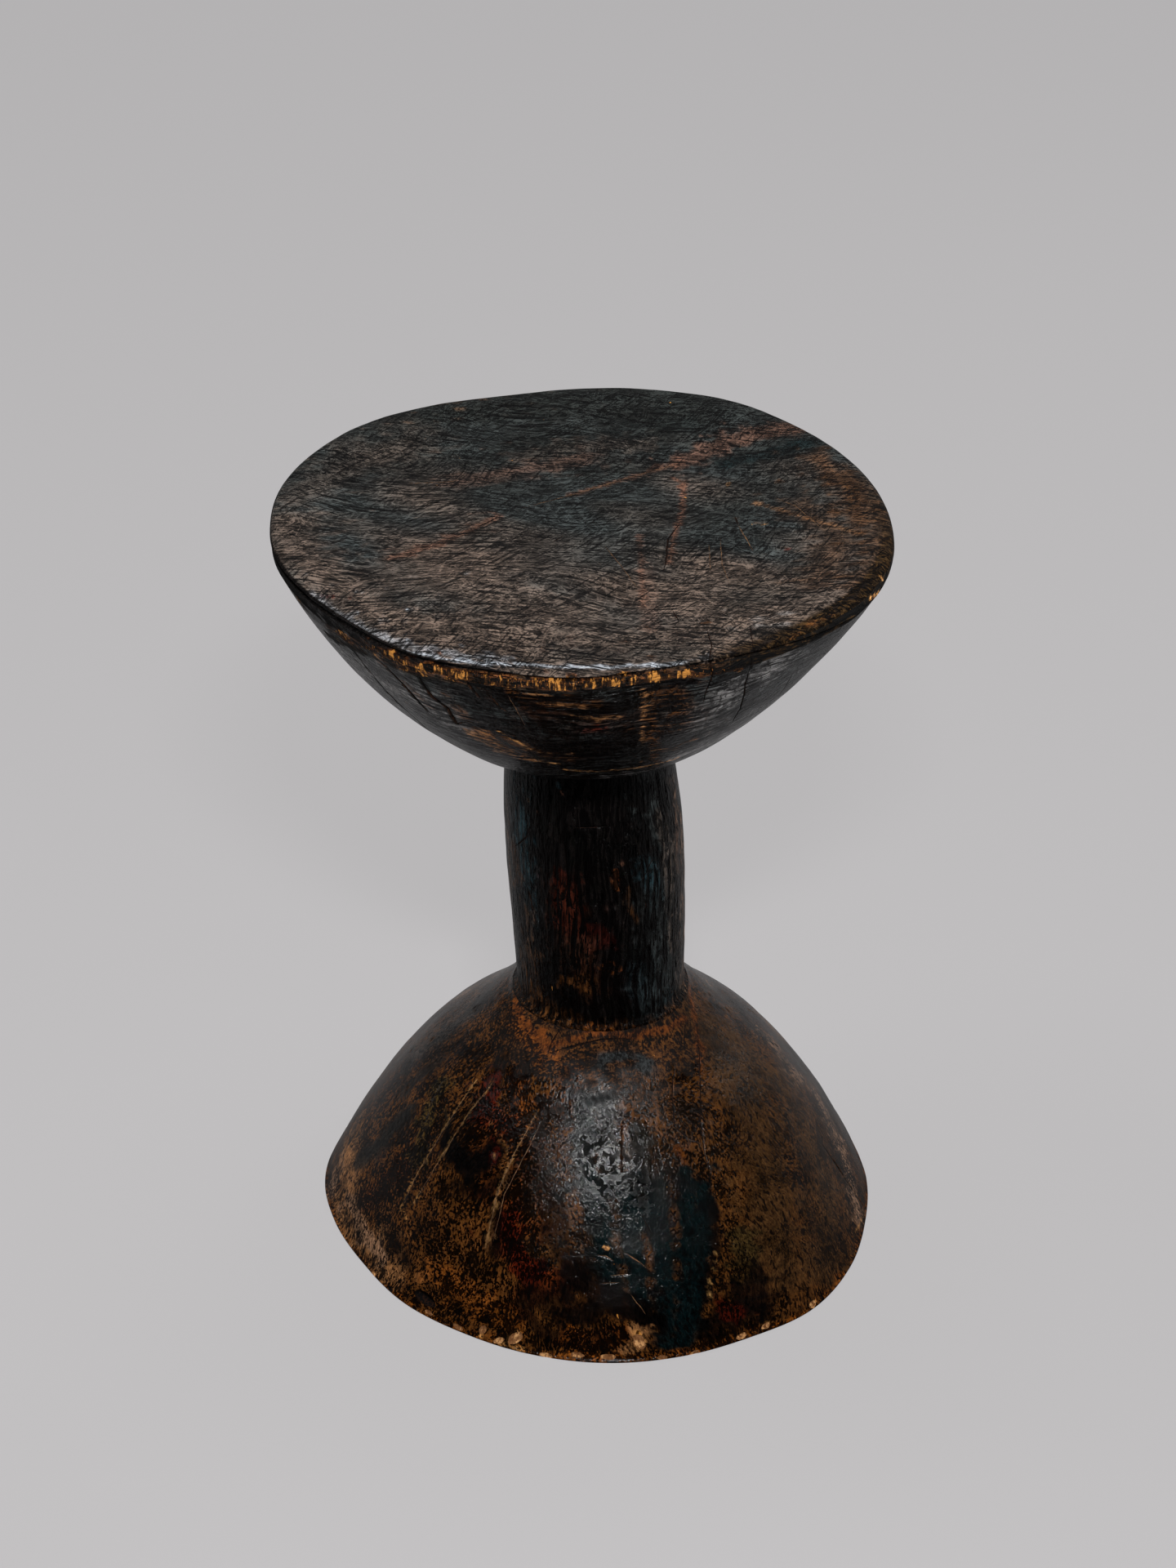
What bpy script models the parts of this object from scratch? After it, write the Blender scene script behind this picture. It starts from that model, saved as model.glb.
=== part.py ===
"""A low round stool carved by hand: a bowl-shaped seat, a leaning column and a hollowed dome foot.

Metres, +Z up. The stool stands on z = 0, its box is centred on the z axis and its front faces -Y.
The carver cuts all of it from one block, so the three parts meet face to face at their creases.
"""
import math

import bmesh
import bpy

# Heights: the whole stool, the seat from its plane down to the crease, the foot up to its crease
STOOL_HEIGHT = 0.380
SEAT_DEPTH = 0.1115
FOOT_HEIGHT = 0.1245

# How far the middle of the seat stands to the left of the middle of the foot, and how the lean
# grows at even steps of height from the floor up
LEAN = 0.0131
LEAN_SHARES = (0.0, 0.17, 0.2, 0.38, 0.67, 1.08, 1.0)

# Seat: a shallow dish, a rounded edge, a groove worn under it, a band of bare wood and the bowl
SEAT_RADIUS = 0.141
SEAT_DISH_DEPTH = 0.004
SEAT_DISH_MARGIN = 0.008
SEAT_EDGE_RADIUS = 0.0026
SEAT_LIP_HEIGHT = 0.0040
SEAT_GROOVE_DEPTH = 0.0010
SEAT_BAND_HEIGHT = 0.0046
SEAT_BAND_INSET = 0.0006
SEAT_COLLAR = 0.0012

# Column: round, a little thicker above its middle
COLUMN_FOOT_RADIUS = 0.0415
COLUMN_BULGE_RADIUS = 0.0435
COLUMN_TOP_RADIUS = 0.0393

# Foot: a dome on a flat ring, hollowed from below
FOOT_RADIUS = 0.1385
FOOT_COLLAR = 0.0018
FOOT_EDGE_RADIUS = 0.0016
FOOT_RING_WIDTH = 0.016
HOLLOW_DEPTH = 0.066
HOLLOW_TOP_RADIUS = 0.014

# Outlines as shares of the radius, every 15 degrees from the right-hand side, by way of the back
SEAT_OUTLINE_SHARES = (
    1.005, 1.005, 1.01, 1.025, 1.05, 1.035, 1.01, 0.985, 1.005, 1.03, 1.025, 1.015,
    1.0, 0.995, 0.98, 0.98, 1.01, 1.01, 1.015, 0.985, 0.99, 0.995, 1.015, 1.015,
)
FOOT_OUTLINE_SHARES = (
    0.975, 0.965, 0.985, 0.995, 1.01, 1.005, 1.0, 0.995, 1.0, 1.015, 1.02, 1.02,
    1.035, 1.015, 0.995, 1.0, 0.995, 1.005, 1.015, 1.015, 1.015, 1.035, 1.015, 0.985,
)
# How deep the groove under the seat's edge is all round: deepest at the front left, worn away on the right
GROOVE_SHARES = (
    0.1, 0.2, 0.4, 0.6, 0.7, 0.6, 0.5, 0.5, 0.6, 0.8, 0.9, 0.9,
    0.9, 1.2, 1.6, 1.7, 1.4, 1.1, 1.0, 1.0, 0.8, 0.3, 0.1, 0.0,
)
COLUMN_OUTLINE_SHARES = (1.0, 0.99, 1.0, 1.01, 1.0, 0.99, 1.0, 1.01, 1.0, 0.985, 0.995, 1.01)

# Profiles as pairs of shares: how far down from the upper edge, and how far out from the crease
BOWL_PROFILE_SHARES = (
    (0.0, 1.0), (0.12, 0.935), (0.3, 0.82), (0.5, 0.67), (0.7, 0.48), (0.88, 0.26), (1.0, 0.0),
)
DOME_PROFILE_SHARES = (
    (0.0, 0.0), (0.07, 0.09), (0.19, 0.24), (0.37, 0.49),
    (0.57, 0.69), (0.77, 0.85), (0.91, 0.945), (1.0, 1.0),
)
DISH_RING_SHARES = (0.16, 0.4, 0.62, 0.82, 1.0)
COLUMN_BULGE_SHARE = 0.6

# How finely the curves are cut into facets
RING_POINTS = 72
BOWL_RINGS = 12
COLUMN_RINGS = 10
DOME_RINGS = 13
HOLLOW_RINGS = 9
EDGE_RINGS = 4
SHARP_DEGREES = 40.0

# Finishes: display colour and roughness
DISPLAY_WHITE = 255.0
DISPLAY_GAMMA = 2.2
SEAT_FINISH = ((58, 50, 46), 0.42)
COLUMN_FINISH = ((30, 27, 26), 0.38)
FOOT_FINISH = ((72, 50, 34), 0.45)


def smooth_between(before, first, second, after, part):
    """Smooth value a part of the way from first to second, led by the values on both sides."""
    slope = second - before
    bend = 2.0 * before - 5.0 * first + 4.0 * second - after
    twist = 3.0 * (first - second) + after - before
    return first + 0.5 * part * (slope + part * (bend + part * twist))


def around(shares, angle):
    """Closed smooth curve through evenly spaced shares, read at an angle."""
    place = angle / math.tau * len(shares)
    first = math.floor(place)
    near = [shares[(first + step) % len(shares)] for step in (-1, 0, 1, 2)]
    return smooth_between(*near, place - first)


def along(shares, place):
    """Open smooth curve through evenly spaced shares, read at a place from 0 to 1."""
    spot = place * (len(shares) - 1)
    first = min(max(math.floor(spot), 0), len(shares) - 2)
    near = [shares[min(max(first + step, 0), len(shares) - 1)] for step in (-1, 0, 1, 2)]
    return smooth_between(*near, spot - first)


def profile(pairs, place):
    """How far down and how far out a profile runs at a place from 0 to 1 along it."""
    return [along([pair[side] for pair in pairs], place) for side in (0, 1)]


def ring(height, radius, shares, hold, groove=0.0):
    """One ring of a loft. A hold of 1 gives it the whole unevenness of the outline, 0 a true circle."""
    middle = -LEAN * along(LEAN_SHARES, height / STOOL_HEIGHT)
    points = []
    for step in range(RING_POINTS):
        angle = math.tau * step / RING_POINTS
        reach = radius * (1.0 + hold * (around(shares, angle) - 1.0))
        reach -= groove * around(GROOVE_SHARES, angle)
        points.append((middle + reach * math.cos(angle), reach * math.sin(angle), height))
    return points


def dish_rings():
    """The seat's top, from its flat middle out to where its edge starts to round over."""
    reach = SEAT_RADIUS - SEAT_EDGE_RADIUS
    hollow = reach - SEAT_DISH_MARGIN
    rings = []
    for share in DISH_RING_SHARES:
        drop = SEAT_DISH_DEPTH * (1.0 - share**2)
        rings.append(ring(STOOL_HEIGHT - drop, hollow * share, SEAT_OUTLINE_SHARES, share))
    rings.append(ring(STOOL_HEIGHT, reach, SEAT_OUTLINE_SHARES, 1.0))
    return rings


def seat_edge_rings():
    """The rounded edge, the groove worn under it and the band of bare wood, down to the bowl."""
    rings = []
    for step in range(1, EDGE_RINGS + 1):
        angle = 0.5 * math.pi * step / EDGE_RINGS
        radius = SEAT_RADIUS - SEAT_EDGE_RADIUS * (1.0 - math.sin(angle))
        height = STOOL_HEIGHT - SEAT_EDGE_RADIUS * (1.0 - math.cos(angle))
        rings.append(ring(height, radius, SEAT_OUTLINE_SHARES, 1.0))
    lip = STOOL_HEIGHT - SEAT_LIP_HEIGHT
    rings.append(ring(lip, SEAT_RADIUS, SEAT_OUTLINE_SHARES, 1.0, SEAT_GROOVE_DEPTH))
    band_top = lip - SEAT_GROOVE_DEPTH
    rings.append(ring(band_top, SEAT_RADIUS - SEAT_BAND_INSET, SEAT_OUTLINE_SHARES, 1.0))
    return rings


def bowl_rings():
    """The bowl under the band, drawn in to the crease round the column."""
    top = STOOL_HEIGHT - SEAT_LIP_HEIGHT - SEAT_BAND_HEIGHT
    bottom = STOOL_HEIGHT - SEAT_DEPTH
    crease = COLUMN_TOP_RADIUS + SEAT_COLLAR
    reach = SEAT_RADIUS - SEAT_BAND_INSET - crease
    rings = []
    for step in range(BOWL_RINGS + 1):
        down, out = profile(BOWL_PROFILE_SHARES, step / BOWL_RINGS)
        rings.append(ring(top - (top - bottom) * down, crease + reach * out, SEAT_OUTLINE_SHARES, out))
    return rings


def column_rings():
    """The column, from its top face down, thickest at the bulge."""
    top = STOOL_HEIGHT - SEAT_DEPTH
    rings = []
    for step in range(COLUMN_RINGS + 1):
        rise = 1.0 - step / COLUMN_RINGS
        if rise < COLUMN_BULGE_SHARE:
            part = rise / COLUMN_BULGE_SHARE
            end = COLUMN_FOOT_RADIUS
        else:
            part = (1.0 - rise) / (1.0 - COLUMN_BULGE_SHARE)
            end = COLUMN_TOP_RADIUS
        radius = end + (COLUMN_BULGE_RADIUS - end) * math.sin(0.5 * math.pi * part)
        height = FOOT_HEIGHT + (top - FOOT_HEIGHT) * rise
        rings.append(ring(height, radius, COLUMN_OUTLINE_SHARES, 1.0))
    return rings


def dome_rings():
    """The outside of the foot, from the crease round the column down to its rounded lower edge."""
    crease = COLUMN_FOOT_RADIUS + FOOT_COLLAR
    reach = FOOT_RADIUS - crease
    drop = FOOT_HEIGHT - FOOT_EDGE_RADIUS
    rings = []
    for step in range(DOME_RINGS + 1):
        down, out = profile(DOME_PROFILE_SHARES, step / DOME_RINGS)
        rings.append(ring(FOOT_HEIGHT - drop * down, crease + reach * out, FOOT_OUTLINE_SHARES, out))
    return rings


def foot_edge_rings(radius, side):
    """A rounded edge of the foot's flat ring, outer with a side of 1 and inner with -1."""
    rings = []
    for step in range(1, EDGE_RINGS):
        angle = 0.5 * math.pi * step / EDGE_RINGS
        out = FOOT_EDGE_RADIUS * (1.0 - math.cos(angle))
        height = FOOT_EDGE_RADIUS * (1.0 - math.sin(angle))
        rings.append(ring(height, radius - side * out, FOOT_OUTLINE_SHARES, 1.0))
    rings.append(ring(0.0, radius - side * FOOT_EDGE_RADIUS, FOOT_OUTLINE_SHARES, 1.0))
    return rings


def hollow_rings():
    """The hollow under the foot, from its mouth up to its flat top."""
    mouth = FOOT_RADIUS - FOOT_RING_WIDTH
    reach = mouth - HOLLOW_TOP_RADIUS
    rise = HOLLOW_DEPTH - FOOT_EDGE_RADIUS
    rings = []
    for step in range(HOLLOW_RINGS + 1):
        angle = 0.5 * math.pi * step / HOLLOW_RINGS
        height = FOOT_EDGE_RADIUS + rise * math.sin(angle)
        out = math.cos(angle)
        rings.append(ring(height, HOLLOW_TOP_RADIUS + reach * out, FOOT_OUTLINE_SHARES, out))
    return rings


def foot_rings():
    """The foot's whole skin, from the crease down outside, across the flat ring and up inside."""
    outer = foot_edge_rings(FOOT_RADIUS, 1.0)
    inner = foot_edge_rings(FOOT_RADIUS - FOOT_RING_WIDTH, -1.0)
    return dome_rings() + outer + inner[::-1] + hollow_rings()


def wood(name, display_colour, roughness):
    """Material of one part, from a display colour."""
    material = bpy.data.materials.new(name)
    material.use_nodes = True
    shader = material.node_tree.nodes["Principled BSDF"]
    colour = [(value / DISPLAY_WHITE) ** DISPLAY_GAMMA for value in display_colour]
    shader.inputs["Base Color"].default_value = (*colour, 1.0)
    shader.inputs["Roughness"].default_value = roughness
    shader.inputs["Metallic"].default_value = 0.0
    material.diffuse_color = (*colour, 1.0)
    return material


def loft(name, rings, middle, finish):
    """One closed solid skinned over its rings, capped flat at both ends and moved to the middle."""
    shell = bmesh.new()
    loops = []
    for points in rings:
        loops.append([shell.verts.new((x - middle[0], y - middle[1], z)) for x, y, z in points])
    for upper, lower in zip(loops, loops[1:]):
        for step in range(RING_POINTS):
            after = (step + 1) % RING_POINTS
            shell.faces.new((upper[step], lower[step], lower[after], upper[after]))
    shell.faces.new(loops[0])
    shell.faces.new(loops[-1][::-1])
    mesh = bpy.data.meshes.new(name)
    shell.to_mesh(mesh)
    shell.free()
    mesh.shade_smooth()
    mesh.set_sharp_from_angle(angle=math.radians(SHARP_DEGREES))
    mesh.materials.append(wood(name + "_wood", *finish))
    part = bpy.data.objects.new(name, mesh)
    bpy.context.scene.collection.objects.link(part)
    return part


def box_middle(rings):
    """Middle of the box round all the rings, seen from above."""
    across = [point[0] for points in rings for point in points]
    deep = [point[1] for points in rings for point in points]
    return 0.5 * (min(across) + max(across)), 0.5 * (min(deep) + max(deep))


def main():
    for thing in list(bpy.data.objects):
        bpy.data.objects.remove(thing)
    seat = dish_rings() + seat_edge_rings() + bowl_rings()
    column = column_rings()
    foot = foot_rings()
    middle = box_middle(seat + column + foot)
    loft("seat", seat, middle, SEAT_FINISH)
    loft("column", column, middle, COLUMN_FINISH)
    loft("foot", foot, middle, FOOT_FINISH)


main()
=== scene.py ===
"""The looks of a low round stool carved by hand from one block: worn seat, leaning column, domed foot."""
import math

import bpy
import numpy as np
from mathutils import Matrix, Vector
from mathutils.bvhtree import BVHTree


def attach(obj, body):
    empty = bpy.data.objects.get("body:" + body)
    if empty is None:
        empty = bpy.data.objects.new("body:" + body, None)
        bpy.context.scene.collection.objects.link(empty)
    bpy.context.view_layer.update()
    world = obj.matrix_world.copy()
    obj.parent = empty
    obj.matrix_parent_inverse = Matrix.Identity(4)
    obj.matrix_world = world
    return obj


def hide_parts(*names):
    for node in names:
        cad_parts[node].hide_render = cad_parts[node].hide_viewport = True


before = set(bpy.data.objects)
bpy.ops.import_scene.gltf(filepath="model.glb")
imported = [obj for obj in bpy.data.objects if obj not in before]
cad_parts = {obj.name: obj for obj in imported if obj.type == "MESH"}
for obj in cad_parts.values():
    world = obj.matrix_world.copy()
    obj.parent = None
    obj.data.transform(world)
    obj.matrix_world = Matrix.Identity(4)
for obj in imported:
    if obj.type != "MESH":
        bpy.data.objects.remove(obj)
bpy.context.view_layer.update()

# The solid's own sizes, as the carver's plan gives them
STOOL_HEIGHT = 0.380
SEAT_DEPTH = 0.1115
FOOT_HEIGHT = 0.1245
LEAN = 0.0131
LEAN_SHARES = (0.0, 0.17, 0.2, 0.38, 0.67, 1.08, 1.0)
SEAT_RADIUS = 0.141
SEAT_DISH_DEPTH = 0.004
SEAT_DISH_MARGIN = 0.008
SEAT_EDGE_RADIUS = 0.0026
SEAT_GROOVE_DEPTH = 0.0010
SEAT_RIM_HEIGHT = 0.0086
SEAT_BAND_INSET = 0.0006
SEAT_COLLAR = 0.0012
COLUMN_FOOT_RADIUS = 0.0415
COLUMN_BULGE_RADIUS = 0.0435
COLUMN_TOP_RADIUS = 0.0393
COLUMN_BULGE_SHARE = 0.6
FOOT_RADIUS = 0.1385
FOOT_COLLAR = 0.0018
FOOT_EDGE_RADIUS = 0.0016
FOOT_RING_WIDTH = 0.016
HOLLOW_DEPTH = 0.066
HOLLOW_TOP_RADIUS = 0.014
LIP_DROP = 0.0009
LIP_DROP_SHARES = (
    0.6, 0.4, 0.3, 0.3, 0.3, 0.3, 0.3, 0.3, 0.4, 0.5, 0.6, 0.7,
    0.8, 1.0, 1.1, 1.1, 1.0, 1.0, 0.9, 0.8, 0.8, 0.9, 1.0, 0.8,
)
SEAT_OUTLINE_SHARES = (
    1.005, 1.005, 1.01, 1.025, 1.05, 1.035, 1.01, 0.985, 1.005, 1.03, 1.025, 1.015,
    1.0, 0.995, 0.98, 0.98, 1.01, 1.01, 1.015, 0.985, 0.99, 0.995, 1.015, 1.015,
)
FOOT_OUTLINE_SHARES = (
    0.975, 0.965, 0.985, 0.995, 1.01, 1.005, 1.0, 0.995, 1.0, 1.015, 1.02, 1.02,
    1.035, 1.015, 0.995, 1.0, 0.995, 1.005, 1.015, 1.015, 1.015, 1.035, 1.015, 0.985,
)
GROOVE_SHARES = (
    0.1, 0.2, 0.4, 0.6, 0.7, 0.6, 0.5, 0.5, 0.6, 0.8, 0.9, 0.9,
    0.9, 1.2, 1.6, 1.7, 1.4, 1.1, 1.0, 1.0, 0.8, 0.3, 0.1, 0.0,
)
COLUMN_OUTLINE_SHARES = (1.0, 0.99, 1.0, 1.01, 1.0, 0.99, 1.0, 1.01, 1.0, 0.985, 0.995, 1.01)
BOWL_PROFILE_SHARES = (
    (0.0, 1.0), (0.12, 0.935), (0.3, 0.82), (0.5, 0.67), (0.7, 0.48), (0.88, 0.26), (1.0, 0.0),
)
DOME_PROFILE_SHARES = (
    (0.0, 0.0), (0.07, 0.09), (0.19, 0.24), (0.37, 0.49),
    (0.57, 0.69), (0.77, 0.85), (0.91, 0.945), (1.0, 1.0),
)

# How far the seat's upper edge is worn round, every 15 degrees, as shares of its plain radius
EDGE_WEAR_SHARES = (
    1.9, 1.5, 1.2, 1.0, 0.9, 0.9, 1.0, 1.1, 1.0, 0.9, 0.9, 0.9,
    0.8, 0.8, 0.8, 0.7, 0.6, 0.5, 0.5, 0.5, 0.9, 2.1, 2.7, 2.4,
)
# The rim below that edge: place from the edge down to the bowl, shares of inset, groove and scored line
RIM_PROFILE = (
    (0.01, 0.0, 0.0, 0.0), (0.02, 0.0, 0.3, 0.6), (0.04, 0.05, 0.8, 1.0), (0.08, 0.1, 1.0, 0.6),
    (0.14, 0.2, 1.0, 0.0), (0.21, 0.3, 1.0, 0.0), (0.28, 0.4, 0.9, 0.0), (0.34, 0.5, 0.7, 0.6),
    (0.38, 0.6, 0.5, 0.6), (0.42, 0.7, 0.3, 0.0), (0.48, 0.8, 0.1, 0.0), (0.56, 0.85, 0.0, 0.0),
    (0.65, 0.8, 0.0, 0.0), (0.75, 0.8, 0.0, 0.0), (0.85, 0.9, 0.0, 0.0), (0.94, 1.1, 0.0, 0.0),
)
SCORED_LINE_DEPTH = 0.0003
# How far up the column its crease with the foot is rounded
CREASE_HEIGHT = 0.005

# The seat's innermost ring as a share of its dish, and the rings of the lip between the dish and the edge
DISH_START_SHARE = 0.012
LIP_RING_SHARES = (0.2, 0.4, 0.6, 0.8)
# The rings across the foot's flat underside, as shares of its width
FLAT_RING_SHARES = (0.25, 0.5, 0.75)
# How near a crease or a flat face the hand carving fades out
CARVE_FADE = 0.003
# The bowl's own finish starts this far below the top, on faces that point upwards less than this
BOWL_START = 0.0045
BOWL_FACE_RISE = 0.5

# How finely each piece is cut
SEAT_POINTS = 440
COLUMN_POINTS = 220
FOOT_POINTS = 460
DISH_RINGS = 66
EDGE_RINGS = 8
BOWL_RINGS = 96
COLUMN_RINGS = 96
DOME_RINGS = 118
HOLLOW_RINGS = 30
RING_RINGS = 5

# The photograph's camera, in the stool's own frame
CAMERA_PLACE = Vector((0.00034, -1.3213, 1.0514))
CAMERA_TILT = math.radians(58.395)
CAMERA_ROLL = math.radians(0.296)
CAMERA_LENS = 75.0
CAMERA_SENSOR = 36.0
PHOTO_WIDTH = 1440
PHOTO_HEIGHT = 1920
# Pixels between two points of a path, and how far a pixel that misses the stool moves towards its middle
PATH_GAP = 10.0
INWARD_STEP = 0.01
STOOL_MIDDLE_DOWN = 0.57

MILLIMETRE = 0.001

# Finishes of the patina: display colour, share of the skin that the colour covers, gloss, bare wood
PATINA = {
    "slate": ((25, 28, 28), 0.62, 0.5, 0.0),
    # Painted sheen: a pale grey for the bowl's left and right sides, where they mirror the floor.
    "painted bowl sheen": ((84, 82, 81), 0.95, 0.75, 0.0),
    # Painted highlight: a pale blue-grey along the seat's front lip, where it catches the light.
    "painted lip highlight": ((90, 94, 99), 0.95, 1.0, 0.0),
    "smoke": ((52, 43, 37), 0.62, 0.5, 0.0),
    "pitch": ((15, 17, 16), 0.6, 0.55, 0.0),
    "brick": ((58, 37, 27), 0.75, 0.5, 0.0),
    "ink": ((2, 8, 9), 0.9, 0.7, 0.0),
    # Black patina; on the bowl's underside, under the seat, it is painted shade as well.
    "night": ((3, 2, 2), 0.9, 0.7, 0.0),
    # Painted shade: black, dull and rough, for the groove under the lip and the gouges.
    "painted recess shade": ((3, 2, 2), 0.95, -2.8, 0.0),
    "scorched": ((26, 16, 5), 0.5, -2.2, 0.0),
    "charred": ((54, 26, 7), 0.06, 0.6, 0.0),
    "umber": ((54, 30, 9), 0.42, 0.5, 0.0),
    "bark": ((42, 24, 9), 0.62, 0.5, 0.0),
    "ochre": ((100, 52, 11), 0.38, 0.45, 0.0),
    "rust": ((48, 8, 2), 0.26, 0.6, 0.0),
    "hide": ((100, 68, 40), 0.78, 0.45, 0.0),
    "dust": ((104, 80, 63), 0.62, 0.4, 0.0),
    "straw": ((150, 106, 58), 0.7, 0.4, 0.7),
    "raw": ((54, 27, 7), 0.75, -2.0, 0.93),
    "moss": ((30, 34, 15), 0.5, 0.5, 0.0),
    "teal": ((16, 30, 34), 0.75, 0.6, 0.0),
    "amber": ((70, 34, 8), 0.95, 0.5, 0.0),
    "walnut": ((46, 29, 13), 1.2, 0.45, 0.0),
    "pale cut": ((126, 94, 54), 0.8, 0.3, 0.0),
}

# Paths of cuts that are painted as well, in pixels of the photograph
LEFT_GOUGE = ((470, 813), (492, 836), (524, 871))
MIDDLE_GOUGE = ((513, 830), (528, 852), (548, 867), (559, 886))
RIGHT_GOUGE = ((570, 834), (580, 846), (589, 856))
LONG_GOUGE = ((433, 797), (470, 843), (492, 865), (524, 893), (559, 914))
OUTER_SCRATCH = ((584, 1322), (563, 1352), (545, 1380), (515, 1430), (490, 1479))
INNER_SCRATCH = ((600, 1330), (572, 1366), (548, 1404), (505, 1476))
LONG_SCRATCH = ((658, 1362), (645, 1385), (632, 1408), (610, 1458), (594, 1528))

# Strokes: finish, width in millimetres, strength, path in pixels of the photograph
SEAT_STROKES = (
    ("smoke", 46, 0.8, ((350, 640), (380, 690), (440, 740), (520, 775), (620, 790))),
    ("smoke", 34, 0.75, ((560, 760), (740, 790), (860, 775), (940, 750))),
    ("smoke", 40, 0.4, ((360, 610), (430, 570), (500, 545))),
    ("smoke", 24, 0.5, ((560, 700), (640, 720), (720, 745))),
    ("smoke", 18, 0.35, ((640, 560), (720, 545), (790, 545))),
    ("smoke", 24, 0.15, ((880, 690), (960, 700), (1020, 690))),
    ("pitch", 40, 0.3, ((900, 740), (980, 700), (1040, 660))),
    ("pitch", 30, 0.8, ((560, 510), (660, 500), (760, 505), (850, 515))),
    ("pitch", 30, 0.5, ((640, 545), (740, 570), (800, 580))),
    ("pitch", 24, 0.4, ((930, 600), (880, 640), (850, 660))),
    ("brick", 22, 0.35, ((560, 590), (640, 575), (720, 560))),
    ("smoke", 22, 0.6, ((480, 683), (540, 665), (585, 645))),
    ("brick", 6, 0.6, ((480, 683), (540, 665), (585, 645), (610, 632))),
    ("brick", 5, 0.5, ((700, 606), (760, 588), (836, 566))),
    ("brick", 19, 0.5, ((836, 566), (870, 550), (909, 534), (975, 526))),
    ("ink", 14, 0.9, ((890, 568), (940, 556), (988, 543))),
    ("ink", 8, 0.5, ((960, 536), (1000, 540))),
    ("ink", 20, 0.3, ((760, 530), (840, 520))),
    ("brick", 3.2, 0.8, ((820, 585), (838, 590), (835, 630), (826, 655), (818, 690))),
    ("brick", 3.2, 0.5, ((783, 655), (785, 690), (787, 742))),
    ("brick", 12, 0.2, ((790, 700), (795, 770))),
    ("hide", 3.4, 0.35, ((925, 615), (980, 632), (1050, 652))),
    ("bark", 30, 0.65, ((1046, 590), (1078, 640), (1078, 690), (1050, 720))),
    ("bark", 24, 0.7, ((1000, 560), (1040, 600), (1050, 640))),
    ("bark", 34, 0.5, ((980, 620), (1030, 660), (1000, 710))),
    ("rust", 2.0, 0.9, ((966, 673),)),
    ("rust", 1.4, 1.0, ((392, 731), (430, 732))),
    ("night", 0.8, 0.8, ((394, 732), (428, 733))),
    ("straw", 1.4, 0.4, ((892, 593),)),
    ("straw", 1.4, 0.4, ((934, 642),)),
)
RIM_STROKES = (
    ("umber", 1.8, 0.6, ((985, 768), (1000, 762))),
    ("umber", 1.8, 0.6, ((1008, 758), (1018, 752))),
    ("umber", 1.4, 0.5, ((968, 782), (980, 774))),
    ("hide", 1.2, 0.6, ((950, 780), (962, 790))),
    ("straw", 2.8, 1.0, ((1066, 733), (1076, 724))),
    ("straw", 1.6, 0.8, ((1080, 710),)),
    # Painted shade: black under the lip at the right front and, further down, a wide band at the left.
    ("painted recess shade", 4, 0.9, ((905, 803), (930, 793), (950, 779))),
    ("painted recess shade", 2.4, 0.9, ((1020, 745), (1045, 730), (1060, 715))),
    ("moss", 3, 0.6, ((380, 770), (400, 790), (420, 812))),
    ("painted recess shade", 7, 0.9, ((336, 680), (350, 712), (378, 742), (400, 762))),
    ("umber", 4, 0.6, ((345, 722), (372, 758), (400, 776))),
    ("scorched", 6, 0.8, ((400, 776), (425, 790), (447, 800))),
)
# Where the rim's raw wood shows brightest: width in millimetres, strength, path
RAW_PATCHES = (
    (5.0, 0.5, ((402, 768), (425, 783), (447, 792))),
    (6.0, 1.0, ((447, 790), (468, 800), (488, 808))),
    (3.0, 0.4, ((488, 810), (515, 816))),
    (6.5, 1.0, ((515, 816), (550, 825), (600, 833))),
    (5.0, 0.7, ((600, 834), (650, 838), (700, 837))),
    (5.5, 1.0, ((700, 836), (735, 836), (765, 835))),
    (4.0, 0.6, ((765, 835), (800, 833), (838, 829))),
    (5.5, 1.0, ((838, 828), (860, 825), (882, 822))),
    (4.0, 0.7, ((882, 822), (902, 819))),
    (4.0, 0.9, ((904, 819), (910, 818))),
)
# Where the skin is polished, and where it is dry: width in millimetres, strength, gloss, path
POLISH_STROKES = (
    (50, 1.0, 1.0, ((728, 1400), (732, 1415), (742, 1450))),
    (22, 0.9, 1.0, ((780, 1395), (785, 1430), (790, 1480))),
    (64, 1.0, -3.3, ((640, 1258), (740, 1284), (840, 1258))),
    (44, 1.0, 0.84, ((800, 1520), (806, 1580), (806, 1640))),
    (40, 1.0, 0.84, ((700, 1570), (760, 1610), (800, 1640))),
    (34, 1.0, 0.84, ((850, 1470), (856, 1540), (850, 1600))),
    (20, 0.8, 1.0, ((390, 730), (440, 762), (500, 786), (560, 798), (640, 804), (760, 804))),
)
# Painted highlight along the seat's front lip: broad at the left, a thin line further right.
LIP_STROKES = (
    ("painted lip highlight", 6.0, 0.35, ((380, 728), (410, 750), (450, 773), (500, 791), (560, 802), (620, 808))),
    ("painted lip highlight", 2.6, 0.85, ((372, 732), (400, 754), (440, 778), (500, 800), (560, 810), (620, 813))),
    ("painted lip highlight", 2.6, 0.8, ((600, 812), (660, 815), (740, 817), (820, 815), (905, 803))),
)
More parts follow.
